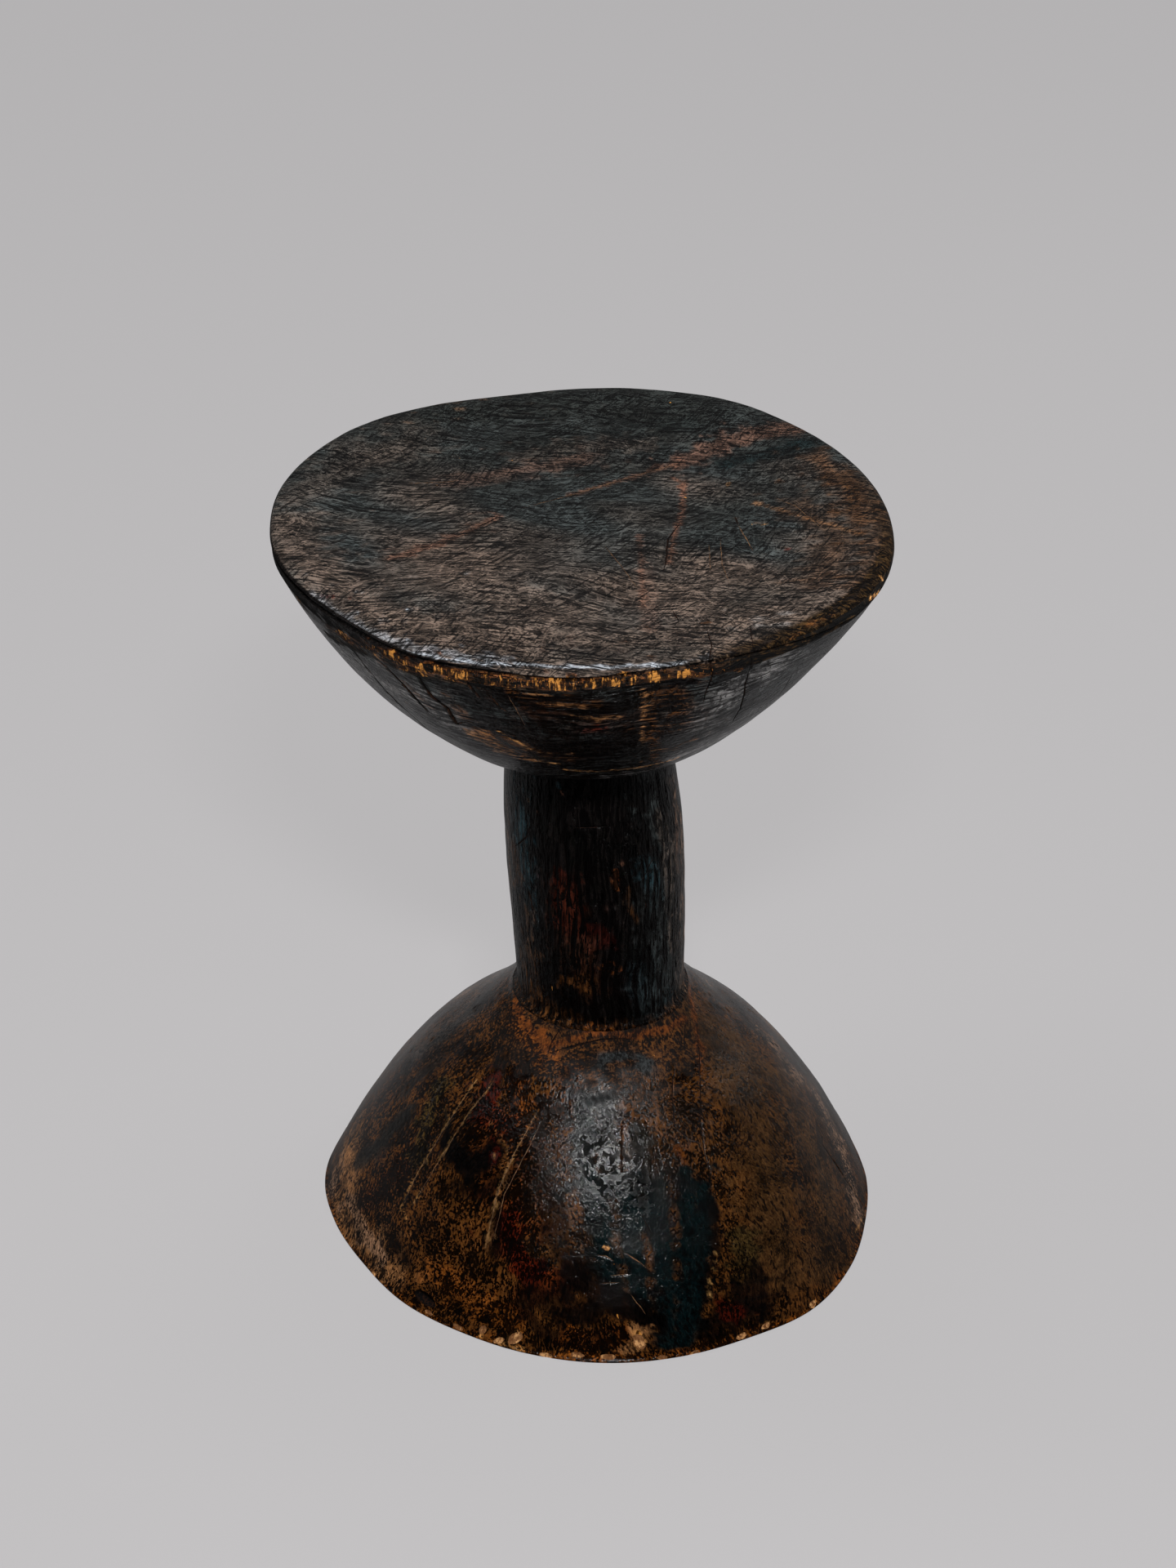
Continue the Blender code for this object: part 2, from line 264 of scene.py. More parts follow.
BOWL_STROKES = (
    # Painted sheen: pale grey down the bowl's left and right sides.
    ("painted bowl sheen", 60, 0.95, ((360, 770), (420, 830), (500, 890), (570, 925))),
    ("painted bowl sheen", 44, 0.8, ((440, 820), (520, 860), (580, 890))),
    ("painted bowl sheen", 60, 0.8, ((1060, 770), (1000, 820), (920, 880), (850, 920))),
    ("painted bowl sheen", 40, 0.7, ((960, 810), (890, 850), (850, 890))),
    # Painted shade: black in the gouges.
    ("painted recess shade", 2.6, 0.9, LEFT_GOUGE),
    ("painted recess shade", 3.0, 0.9, MIDDLE_GOUGE),
    ("painted recess shade", 2.4, 0.8, RIGHT_GOUGE),
    ("painted recess shade", 1.6, 0.8, LONG_GOUGE),
    # Black patina under the middle of the bowl, also painted shade under the seat.
    ("night", 60, 1.0, ((600, 850), (700, 870), (800, 860))),
    ("night", 50, 1.0, ((590, 890), (680, 915), (810, 900))),
    ("charred", 30, 0.15, ((650, 870), (720, 890), (790, 880))),
    ("hide", 4, 0.7, ((648, 850), (672, 852))),
    ("hide", 5, 0.6, ((678, 862), (716, 866))),
    ("hide", 4, 0.6, ((695, 876), (756, 878))),
    ("umber", 10, 0.5, ((640, 852), (700, 862), (730, 862))),
    ("rust", 5, 0.5, ((715, 895), (735, 892))),
    ("umber", 12, 0.45, ((620, 905), (660, 922), (700, 930))),
    ("hide", 3, 0.6, ((660, 921), (702, 923))),
    ("umber", 8, 0.7, ((790, 850), (800, 900), (800, 940))),
    ("hide", 2.4, 0.8, ((788, 858), (787, 900), (786, 938))),
    ("hide", 4, 0.8, ((786, 846), (794, 862))),
    ("umber", 22, 0.8, ((820, 850), (836, 868), (828, 890))),
    ("straw", 2.4, 0.7, ((690, 942), (740, 944), (790, 938), (830, 928))),
    ("straw", 1.6, 0.6, ((600, 915), (640, 928), (690, 936))),
    ("straw", 1.4, 0.5, ((610, 896), (630, 906), (650, 918))),
    ("hide", 14, 0.7, ((585, 900), (620, 918), (650, 930))),
    ("hide", 8, 0.7, ((800, 920), (830, 916), (850, 905))),
    ("umber", 12, 0.5, ((560, 870), (600, 905), (640, 930))),
    ("umber", 6, 0.6, ((470, 815), (500, 840), (530, 868))),
)
COLUMN_STROKES = (
    ("night", 40, 0.9, ((720, 960), (725, 1060), (725, 1160), (770, 1240))),
    # Painted sheen: teal, slate and dust down the column's left edge, where it catches light at a grazing
    # angle.
    ("teal", 16, 0.7, ((634, 960), (640, 1040), (646, 1120))),
    ("slate", 14, 0.7, ((640, 1100), (648, 1180))),
    ("dust", 6, 0.3, ((620, 980), (624, 1060), (630, 1150))),
    ("bark", 10, 0.6, ((630, 1040), (636, 1080))),
    ("bark", 14, 0.6, ((640, 1110), (650, 1180))),
    ("bark", 24, 0.8, ((645, 1190), (655, 1225), (690, 1254))),
    ("umber", 10, 0.4, ((648, 1205), (664, 1235), (690, 1256))),
    ("charred", 30, 0.12, ((690, 1090), (700, 1150), (720, 1200))),
    ("rust", 16, 0.2, ((690, 1080), (695, 1130), (740, 1150))),
    ("brick", 10, 0.12, ((700, 1160), (730, 1150))),
    ("ochre", 3, 0.5, ((700, 1255), (760, 1262), (820, 1250), (845, 1225))),
    ("umber", 8, 0.5, ((690, 1200), (720, 1204))),
    ("charred", 2.8, 0.9, ((754, 1066), (755, 1088))),
    ("bark", 2.8, 0.6, ((770, 1088), (768, 1106), (780, 1128))),
    ("brick", 2, 0.7, ((762, 1058),)),
    ("brick", 2, 0.8, ((688, 971),)),
    ("straw", 1.4, 0.5, ((645, 978),)),
    ("brick", 1.8, 0.6, ((659, 995),)),
    # Painted sheen: slate, smoke, dust and teal down the column's right side, where it catches light at a
    # grazing angle.
    ("slate", 20, 0.9, ((800, 950), (812, 1040), (818, 1130), (816, 1200))),
    ("smoke", 14, 0.8, ((824, 960), (830, 1040), (836, 1130), (832, 1200))),
    ("dust", 8, 0.7, ((826, 975), (838, 1060), (841, 1150), (838, 1210))),
    ("brick", 8, 0.4, ((826, 1000), (832, 1060))),
    ("teal", 14, 0.7, ((796, 1060), (806, 1100))),
    ("teal", 24, 0.4, ((790, 1190), (800, 1230), (826, 1220))),
    ("smoke", 12, 0.6, ((812, 1000), (820, 1080), (824, 1160))),
    ("slate", 26, 0.6, ((800, 1100), (806, 1180), (800, 1230))),
    ("charred", 1.4, 0.6, ((733, 1185), (748, 1178), (762, 1186), (750, 1191), (735, 1187))),
)
FOOT_STROKES = (
    ("walnut", 60, 1.0, ((900, 1320), (930, 1400), (950, 1480), (960, 1560))),
    ("walnut", 60, 1.0, ((880, 1280), (960, 1330), (1010, 1440), (1010, 1540))),
    ("walnut", 50, 1.0, ((870, 1260), (940, 1400), (930, 1520))),
    # The hide and dust down the foot's left side are its dusty brown, made paler as a painted sheen where it
    # catches light at a grazing angle.
    ("hide", 40, 1.0, ((470, 1300), (430, 1400), (430, 1500), (470, 1560))),
    ("hide", 16, 0.5, ((410, 1400), (406, 1450), (430, 1520))),
    ("dust", 30, 0.9, ((405, 1450), (420, 1520), (470, 1590))),
    ("dust", 12, 0.6, ((430, 1470), (450, 1520), (470, 1540))),
    ("smoke", 26, 0.6, ((470, 1290), (530, 1240), (590, 1205))),
    ("slate", 20, 0.8, ((500, 1300), (545, 1262), (590, 1225))),
    ("bark", 30, 0.8, ((450, 1340), (500, 1290), (560, 1240))),
    ("ink", 14, 0.9, ((440, 1420), (470, 1396), (505, 1356))),
    ("ink", 12, 0.8, ((495, 1335), (545, 1295))),
    ("night", 10, 0.7, ((480, 1520), (500, 1545))),
    ("charred", 18, 0.8, ((450, 1470), (480, 1440), (520, 1400))),
    ("umber", 40, 0.8, ((540, 1330), (570, 1290), (620, 1250))),
    ("umber", 24, 0.5, ((520, 1430), (525, 1500), (560, 1560))),
    ("moss", 14, 0.5, ((540, 1330), (520, 1380), (510, 1420))),
    ("charred", 19, 0.95, ((600, 1330), (590, 1400), (600, 1460))),
    ("charred", 19, 0.95, ((630, 1320), (640, 1400), (630, 1480))),
    ("charred", 19, 0.9, ((650, 1380), (655, 1450), (650, 1500))),
    ("night", 18, 1.0, ((548, 1396), (575, 1436), (606, 1410))),
    ("night", 14, 0.9, ((575, 1368), (600, 1345), (612, 1310))),
    ("night", 12, 0.8, ((560, 1450), (590, 1460), (620, 1440))),
    ("umber", 16, 0.6, ((560, 1490), (590, 1500), (580, 1530))),
    ("rust", 18, 0.7, ((600, 1330), (598, 1360), (620, 1385))),
    ("rust", 19, 0.95, ((620, 1495), (630, 1530), (650, 1560))),
    ("rust", 18, 0.6, ((660, 1570), (700, 1560), (640, 1590))),
    ("night", 12, 0.9, ((608, 1480), (604, 1530))),
    ("night", 19, 0.8, ((680, 1480), (684, 1530), (710, 1570))),
    ("night", 19, 0.6, ((664, 1420), (668, 1470))),
    ("umber", 24, 0.7, ((620, 1260), (650, 1290), (690, 1275))),
    ("ochre", 12, 0.5, ((630, 1235), (650, 1280), (680, 1290))),
    ("ochre", 10, 0.4, ((640, 1330), (650, 1380))),
    ("ochre", 20, 0.3, ((540, 1560), (580, 1595), (630, 1620))),
    ("night", 9, 0.8, ((640, 1600), (660, 1630), (690, 1640))),
    ("umber", 12, 0.4, ((600, 1560), (640, 1590), (700, 1600))),
    ("umber", 26, 0.7, ((850, 1290), (860, 1340), (880, 1380))),
    ("teal", 14, 0.8, ((740, 1300), (770, 1293), (790, 1306))),
    ("umber", 8, 0.8, ((755, 1308), (768, 1310))),
    ("charred", 16, 0.8, ((700, 1320), (690, 1370), (672, 1350))),
    ("ink", 19, 0.95, ((715, 1350), (715, 1410), (720, 1460))),
    ("ink", 19, 0.9, ((740, 1350), (742, 1410), (748, 1460))),
    ("ink", 19, 0.9, ((784, 1390), (790, 1450), (795, 1500))),
    ("brick", 4, 0.6, ((762, 1335), (763, 1375), (766, 1395))),
    ("brick", 7, 0.5, ((815, 1390), (840, 1400))),
    ("amber", 5, 0.7, ((828, 1404), (838, 1422))),
    ("umber", 14, 0.7, ((800, 1330), (812, 1360), (830, 1390))),
    ("ink", 19.8, 1.0, ((730, 1460), (738, 1530), (750, 1590))),
    ("ink", 19.8, 1.0, ((765, 1450), (775, 1530), (785, 1600))),
    ("ink", 19.8, 1.0, ((805, 1460), (812, 1540), (815, 1640))),
    ("ink", 19.8, 1.0, ((840, 1450), (846, 1540), (836, 1640))),
    ("ink", 14, 1.0, ((858, 1452), (864, 1500), (858, 1560), (850, 1620))),
    ("night", 19.8, 0.9, ((700, 1560), (750, 1590), (800, 1620))),
    ("night", 12, 0.8, ((690, 1620), (740, 1600), (780, 1610))),
    ("charred", 14, 0.9, ((700, 1640), (740, 1640), (770, 1630))),
    # The dust at the foot's right edge is its dusty brown, made paler as a painted sheen where it catches
    # light at a grazing angle.
    ("dust", 22, 0.9, ((1000, 1340), (1034, 1420), (1052, 1490))),
    ("dust", 16, 0.5, ((930, 1260), (970, 1310))),
    ("moss", 18, 0.35, ((905, 1515), (915, 1550))),
    ("night", 18, 0.9, ((905, 1590), (930, 1580), (925, 1560))),
    ("night", 14, 0.8, ((880, 1610), (910, 1600), (950, 1590))),
    ("night", 8, 0.9, ((874, 1480), (878, 1530))),
    ("night", 8, 0.8, ((870, 1550), (864, 1590))),
    ("night", 19, 0.8, ((870, 1625), (900, 1612), (930, 1604))),
    ("rust", 10, 0.6, ((885, 1600), (905, 1605))),
    ("umber", 14, 0.6, ((960, 1600), (990, 1590))),
    ("pale cut", 1.6, 0.45, OUTER_SCRATCH),
    ("pale cut", 1.4, 0.4, INNER_SCRATCH),
    ("pale cut", 1.6, 0.45, LONG_SCRATCH),
    ("hide", 4.5, 0.12, ((622, 1440), (606, 1484), (592, 1535))),
    ("pale cut", 1.0, 0.25, ((600, 1375), (615, 1395), (622, 1412))),
    ("pale cut", 1.2, 0.7, ((878, 1535), (868, 1575), (872, 1592))),
    ("straw", 1.8, 0.9, ((738, 1526), (746, 1530))),
    ("straw", 5, 0.9, ((626, 1640), (634, 1634))),
    ("straw", 3, 0.8, ((590, 1627), (588, 1634))),
    ("straw", 3, 0.5, ((608, 1642), (640, 1652))),
    ("night", 19, 0.8, ((650, 1585), (720, 1610))),
    ("ochre", 4, 0.8, ((700, 1625), (712, 1635))),
    ("ochre", 3.4, 0.75, ((696, 1655), (730, 1662), (760, 1658))),
    ("hide", 9, 0.75, ((775, 1625), (785, 1640), (770, 1655))),
    ("straw", 2.4, 0.6, ((779, 1630), (788, 1645))),
    ("straw", 2.4, 0.8, ((936, 1624), (943, 1620))),
    ("straw", 2.4, 0.8, ((994, 1597), (998, 1594))),
    ("straw", 1.6, 0.5, ((1048, 1508), (1056, 1490))),
    ("straw", 1.6, 0.5, ((495, 1485), (498, 1492))),
    ("amber", 6, 0.8, ((630, 1232), (650, 1262), (672, 1280))),
    ("amber", 5, 0.9, ((668, 1284), (700, 1274), (722, 1265), (778, 1269), (812, 1262), (838, 1247))),
    ("amber", 5, 0.8, ((843, 1205), (850, 1240), (854, 1275), (857, 1310))),
    ("umber", 8, 0.8, ((690, 1290), (730, 1280), (790, 1282))),
)

# Cracks and cuts: width and depth in millimetres, path in pixels of the photograph
DRYING_CRACKS = (
    (0.9, 3.0, ((870, 793), (869, 806), (872, 827), (865, 845), (861, 862))),
    (0.8, 2.6, ((920, 795), (919, 815), (913, 835), (911, 850), (906, 868), (894, 888))),
    (0.4, 1.2, ((970, 825), (962, 840), (953, 852))),
    (0.8, 1.8, ((583, 646), (597, 640), (610, 633))),
    (0.5, 1.0, ((676, 665), (690, 655))),
    (0.9, 1.8, ((833, 640), (818, 660), (815, 690), (812, 700))),
    (0.7, 1.6, ((900, 632), (904, 643))),
    (0.5, 1.2, ((824, 748), (829, 757), (831, 762))),
    (0.5, 1.0, ((918, 765), (922, 790), (920, 800))),
    (0.5, 1.0, ((865, 770), (872, 790), (870, 800))),
    (0.6, 1.4, ((826, 1304), (823, 1338), (826, 1381), (845, 1395), (861, 1400))),
    (0.7, 1.8, ((853, 1250), (857, 1304), (858, 1371), (862, 1411), (871, 1438))),
    (0.5, 1.2, ((762, 1378), (761, 1405), (762, 1435))),
    (0.5, 1.2, ((1006, 1400), (1038, 1448), (1059, 1480))),
    (0.7, 1.6, ((688, 1258), (676, 1275), (671, 1290))),
    (0.8, 1.6, ((672, 1290), (700, 1281), (740, 1272), (780, 1272))),
    (0.8, 1.8, ((650, 1013), (643, 1027), (631, 1036))),
    (0.7, 1.4, ((641, 1076), (648, 1092), (656, 1130))),
    (0.6, 1.2, ((786, 1080), (792, 1066), (799, 1052))),
    (0.5, 1.0, ((790, 1100), (791, 1112))),
    (0.5, 1.0, ((786, 1489), (799, 1513))),
    (0.5, 1.0, ((700, 1014), (744, 1012))),
    (0.4, 1.0, ((540, 1325), (528, 1350), (521, 1372))),
)
GOUGES = (
    (2.0, 1.3, LEFT_GOUGE),
    (2.2, 1.4, (*MIDDLE_GOUGE, (572, 884))),
    (1.8, 1.2, RIGHT_GOUGE),
    (1.2, 0.9, LONG_GOUGE),
    (1.0, 0.8, ((880, 905), (902, 900), (920, 888))),
    (1.0, 0.7, ((400, 830), (430, 860), (470, 885))),
    (1.0, 0.8, ((600, 850), (612, 866), (628, 876))),
    (0.9, 0.7, ((450, 850), (480, 872), (500, 884))),
)
LIGHT_SCRATCHES = (
    (0.45, 0.15, OUTER_SCRATCH),
    (0.35, 0.12, INNER_SCRATCH),
    (0.45, 0.15, LONG_SCRATCH),
    (0.35, 0.12, ((664, 1372), (652, 1396), (640, 1420), (618, 1462), (604, 1520))),
    (0.45, 0.15, ((764, 1534), (778, 1542), (791, 1552))),
    (0.3, 0.08, ((737, 1572), (758, 1570))),
    (0.35, 0.12, ((732, 1537), (742, 1538), (751, 1544))),
    (0.35, 0.12, ((772, 1585), (780, 1596), (791, 1609))),
    (0.3, 0.08, ((748, 1562), (772, 1560))),
    (0.4, 0.15, ((622, 852), (632, 868), (643, 888))),
    (0.35, 0.12, ((740, 668), (760, 692), (780, 720))),
    (0.45, 0.15, ((904, 643), (914, 660), (922, 675))),
    (0.35, 0.10, ((640, 622), (700, 606), (760, 588), (836, 566))),
    (0.35, 0.12, ((500, 592), (550, 590), (560, 588))),
    (0.3, 0.10, ((882, 660), (884, 690), (894, 716))),
    (0.3, 0.10, ((868, 668), (870, 700))),
    (0.35, 0.10, ((950, 610), (975, 620), (1010, 650))),
)

# How much bare wood the rim's band shows, every 15 degrees
RAW_BAND_SHARES = (
    0.2, 0.1, 0.4, 0.5, 0.3, 0.1, 0.2, 0.5, 0.6, 0.3, 0.2, 0.3,
    0.2, 0.15, 0.2, 0.35, 0.5, 0.6, 0.6, 0.6, 0.5, 0.1, 0.0, 0.1,
)
# How dark the painted shade in the groove over that band is, every 15 degrees
DARK_GROOVE_SHARES = (
    0.1, 0.3, 0.5, 0.5, 0.6, 0.5, 0.5, 0.5, 0.6, 0.6, 0.7, 0.8,
    0.9, 1.0, 1.0, 1.0, 1.0, 0.95, 0.5, 0.5, 0.6, 0.3, 0.0, 0.0,
)
# How dark the bevel at the right is, every 15 degrees
BEVEL_SHARES = (
    0.6, 0.1, 0.0, 0.0, 0.0, 0.0, 0.0, 0.0, 0.0, 0.0, 0.0, 0.0,
    0.0, 0.0, 0.0, 0.0, 0.0, 0.0, 0.0, 0.1, 0.9, 1.0, 1.0, 1.0,
)
# Where the band of bare wood begins and ends below the seat's top, in millimetres, every 15 degrees
BAND_TOP = (
    4.0, 4.0, 4.0, 4.0, 4.0, 4.0, 4.0, 4.0, 4.0, 4.0, 4.6, 6.0,
    8.0, 10.0, 12.0, 9.5, 6.8, 4.0, 3.0, 3.8, 3.4, 3.0, 3.0, 3.4,
)
BAND_LOW = (
    9.0, 9.0, 9.0, 9.0, 9.0, 9.0, 9.0, 9.0, 9.0, 10.0, 11.0, 13.0,
    15.0, 17.0, 19.0, 16.5, 14.0, 10.2, 9.0, 8.4, 9.2, 9.0, 9.0, 9.0,
)
# Chips and pits: length, width and depth in millimetres, and the two pixels between which each lies
CHIPS = (
    (9.0, 5.0, 2.0, (624, 1643), (638, 1634)),
    (5.0, 3.4, 1.4, (588, 1631), (594, 1625)),
    (6.0, 3.0, 1.2, (606, 1643), (616, 1640)),
    (7.0, 3.0, 1.2, (700, 1658), (714, 1660)),
    (8.0, 3.0, 1.3, (735, 1661), (755, 1662)),
    (8.0, 5.0, 1.0, (779, 1636), (787, 1650)),
    (5.0, 3.0, 1.4, (932, 1626), (943, 1621)),
    (5.0, 3.4, 1.6, (992, 1600), (998, 1594)),
    (3.4, 2.2, 0.8, (1066, 733), (1074, 726)),
    (2.4, 1.8, 0.7, (1079, 712), (1082, 707)),
    (3.0, 2.0, 0.6, (738, 1526), (745, 1530)),
    (7.0, 3.0, 2.4, (660, 1664), (676, 1668)),
    (6.0, 2.6, 2.0, (556, 1622), (566, 1628)),
    (5.0, 2.6, 2.0, (846, 1664), (858, 1661)),
    (6.0, 2.6, 2.2, (905, 1650), (918, 1644)),
    (5.0, 2.6, 2.0, (806, 1668), (818, 1668)),
    (4.0, 2.4, 2.0, (454, 1556), (462, 1564)),
    (5.0, 2.4, 1.8, (520, 1604), (530, 1610)),
)
PITS = (
    (14.0, 6.0, 6.0, (504, 1578), (538, 1602)),
    (4.0, 2.4, 1.6, (470, 1585), (476, 1592)),
)

# Display colours that more than one finish uses
BLACK = (3, 2, 2)
PAPER = (190, 188, 189)
WALLS = (240, 243, 248)

# How far each piece's skin is carved: sizes and depths of the tool facets, the waves and the grain
CARVING = {
    "seat": {
        "Facet Size": 0.016, "Facet Depth": 0.0003, "Wave Size": 0.06, "Wave Depth": 0.0008,
        "Grain Stretch": (0.25, 1.0, 1.0), "Grain Size": 0.004, "Grain Depth": 0.00016, "Seed": 1.0,
    },
    "column": {
        "Facet Size": 0.013, "Facet Depth": 0.0004, "Wave Size": 0.05, "Wave Depth": 0.0009,
        "Grain Stretch": (1.0, 1.0, 0.12), "Grain Size": 0.004, "Grain Depth": 0.0003, "Seed": 2.0,
    },
    "foot": {
        "Facet Size": 0.015, "Facet Depth": 0.0004, "Wave Size": 0.055, "Wave Depth": 0.0009,
        "Grain Stretch": (1.0, 1.0, 0.6), "Grain Size": 0.005, "Grain Depth": 0.0003, "Seed": 3.0,
    },
}

# How each skin's patina looks. Patterns (small, middle, grain, rubbed) are given as waves a metre along each
# axis, hairs as waves a metre, turn, strength and the level from which a wave shows as a hair. Bend is the
# size of the grain's slow curves and how far they push it.
LOOKS = {
    "seat": {
        "small": (340.0, 620.0, 620.0), "middle": (90.0, 200.0, 200.0), "grain": (80.0, 1000.0, 400.0),
        "rubbed": (120.0, 400.0, 400.0), "bend": (0.09, 0.045), "ground": 0.4, "shade": 0.5, "soft": 0.015,
        "light": 3.9, "glint": (17, 15, 13), "grain share": 0.4, "pits": 1.0,
        "light hairs": (
            ((50.0, 1000.0, 400.0), -0.4, 0.9, 0.565), ((50.0, 960.0, 400.0), 0.45, 0.85, 0.57),
            ((44.0, 900.0, 400.0), 1.35, 0.8, 0.585), ((44.0, 900.0, 400.0), -1.05, 0.8, 0.585),
            ((30.0, 700.0, 400.0), 0.06, 0.9, 0.59),
        ),
        "dark hairs": (((50.0, 900.0, 400.0), -0.15, 0.9, 0.555), ((50.0, 900.0, 400.0), 0.9, 0.8, 0.575)),
        "depth": 0.0009, "specular": 0.07, "rough": 0.44, "gloss": 0.26, "dull": 0.12,
    },
    "bowl": {
        "small": (260.0, 260.0, 560.0), "middle": (90.0, 90.0, 260.0), "grain": (60.0, 60.0, 760.0),
        "rubbed": (100.0, 100.0, 400.0), "bend": (0.045, 0.02), "ground": 0.1, "shade": 0.7, "soft": 0.012,
        "light": 3.3, "glint": (9, 8, 6), "grain share": 0.7, "pits": 1.0,
        "light hairs": (((50.0, 50.0, 800.0), 0.0, 0.85, 0.56), ((600.0, 600.0, 60.0), 0.0, 0.5, 0.6)),
        "dark hairs": (((40.0, 40.0, 500.0), 0.0, 1.0, 0.545), ((380.0, 380.0, 40.0), 0.0, 0.7, 0.58)),
        "depth": 0.0022, "specular": 0.17, "rough": 0.38, "gloss": 0.22, "dull": 0.15,
    },
    "column": {
        "small": (480.0, 480.0, 200.0), "middle": (170.0, 170.0, 80.0), "grain": (600.0, 600.0, 40.0),
        "rubbed": (400.0, 400.0, 100.0), "bend": (0.045, 0.012), "ground": 0.15, "shade": 0.7, "soft": 0.015,
        "light": 2.8, "glint": (6, 6, 5), "grain share": 0.6, "pits": 0.95,
        "light hairs": (((700.0, 700.0, 40.0), 0.0, 0.75, 0.565),),
        "dark hairs": (((420.0, 420.0, 30.0), 0.0, 0.95, 0.555),),
        "depth": 0.0028, "specular": 0.08, "rough": 0.4, "gloss": 0.2, "dull": 0.1,
    },
    "foot": {
        "small": (860.0, 860.0, 480.0), "middle": (210.0, 210.0, 120.0), "grain": (600.0, 600.0, 80.0),
        "rubbed": (230.0, 230.0, 230.0), "bend": (0.045, 0.02), "ground": 0.06, "shade": 0.65, "soft": 0.036,
        "light": 1.9, "glint": (6, 3, 1), "grain share": 0.5, "pits": 0.5,
        "light hairs": (((640.0, 360.0, 60.0), 0.3, 0.5, 0.59), ((360.0, 640.0, 70.0), -0.3, 0.5, 0.6)),
        "dark hairs": (((420.0, 420.0, 60.0), 0.1, 0.8, 0.59),),
        "depth": 0.0004, "specular": 0.17, "rough": 0.28, "gloss": 0.2, "dull": 0.85,
    },
}
# How much the small, middle and large patterns and the painted cover decide where a flake lies
FLAKE_SHARES = (0.52, 0.32, 0.16, 0.17)
LARGE_PATTERN = (60.0, 60.0, 60.0)
# Levels of a pattern between which something sets in
SHADE_LEVELS = (0.84, 1.16)
FLECK_LEVELS = (0.54, 0.59)
PIT_LEVELS = (0.44, 0.39)
HAIR_RISE = 0.03
RUBBED_LEVELS = (0.5, 0.53)
POLISHED_LEVELS = (0.85, 1.0)
GONE_LEVELS = (2.04, 2.12)
BARE_MID_LEVELS = (0.47, 0.54)
BARE_LIGHT_LEVELS = (0.58, 0.65)
# How the pits' own pattern bends
PIT_BEND = (0.03, 0.002)
# How far each feature of the patina stands out or lies deep, as shares of the look's depth
RELIEF = {"small": 0.7, "grain": 0.5, "flake": 0.03, "pit": 0.08, "hair": 0.06, "gone": 0.1}
# Bare wood under the patina: three tones, its fibres, its knots and how ragged its edge is
BARE_DARK, BARE_MID, BARE_LIGHT = (6, 3, 1), (50, 27, 6), (172, 116, 52)
BARE_FIBRES = (620.0, 620.0, 120.0)
BARE_KNOTS = (120.0, 120.0, 120.0)
BARE_KNOT_SHARE = 0.7
RAGGED_FIBRE_SHARE = 1.6
RAGGED_MIDDLE_SHARE = 1.2
BARE_ROUGHER = 0.05
# The inside of a crack, and broken wood: dark and light display colours, fibres and patches
CRACK_LIGHT = (30, 14, 6)
CRACK_FIBRES = (900.0, 900.0, 200.0)
BROKEN_WOODS = {
    "wood in a gouge": ((8, 5, 3), (58, 32, 14)),
    "scratched wood": ((58, 38, 22), (118, 86, 56)),
    "chipped wood": ((96, 58, 28), (190, 142, 92)),
    "splinters": ((22, 10, 3), (160, 100, 42)),
}
BROKEN_FIBRES = (1000.0, 1000.0, 200.0)
BROKEN_PATCHES = (160.0, 160.0, 160.0)

# The softboxes: name, place, the point each aims at, width and height, watts
LAMPS = (
    ("front softbox", (0.04, -0.92, 1.12), (0.0, -0.08, 0.09), (0.18, 0.085), 19.0),
    ("left softbox", (-0.75, 0.2, 1.65), (-0.05, 0.0, 0.38), (0.5, 0.45), 9.0),
    ("right softbox", (1.2, 0.9, 1.1), (0.0, 0.0, 0.2), (0.6, 0.6), 6.0),
    ("top softbox", (0.05, 0.3, 1.75), (0.0, 0.0, 0.3), (0.7, 0.35), 7.0),
)
# How bright the room's walls are: from and to which direction they change, and their brightness at both
WALLS_BACKWARDS = (-0.1, 0.8, 0.02, 0.17)
WALLS_UPWARDS = (0.3, 0.75, 1.0, 0.35)
# The floor: its half width, where what the polish mirrors of it grows dim, and how bright the camera sees it
FLOOR_REACH = 30.0
FLOOR_MIRRORED = (-0.15, 0.4, 0.02, 0.6)
FLOOR_SEEN = 0.85

# Wear on the sides that the photograph doesn't show: finishes, lowest and highest place, patches, seed
UNSEEN_WEAR = {
    "seat": (("umber", "hide", "night", "ochre", "smoke"), 0.28, 0.37, 70, 11),
    "column": (("umber", "rust", "night", "slate"), 0.14, 0.26, 30, 12),
    "foot": (("umber", "hide", "night", "ochre", "rust", "ink", "dust", "moss"), 0.004, 0.12, 110, 13),
}
# Such a patch: its angle at the back as shares of a half turn, its most spots, how far round and how far
# up or down the next spot may lie, its width in millimetres and its strength
PATCH_ANGLES = (0.08, 0.92)
PATCH_MOST_SPOTS = 3
PATCH_TURN = 0.12
PATCH_CLIMB = 0.015
PATCH_WIDTHS = (6.0, 30.0)
PATCH_STRENGTHS = (0.4, 0.9)

# A stroke's uneven edge: size, seed and share of each of its waves, and how far they move it
STROKE_WAVES = ((0.012, 5, 1.0), (0.005, 6, 0.6))
STROKE_UNEVENNESS = 0.9
# Strokes narrower than this have a firmer middle
NARROW_STROKE = 0.02
NARROW_STROKE_GAIN = 1.8
# An uneven value: how many waves add up to it, and how often each of them repeats within its size
WOBBLE_WAVES = 7
WOBBLE_REPEATS = (0.6, 1.6)
# Squared length under which a stroke's span counts as a point
LEAST_SPAN = 1e-12

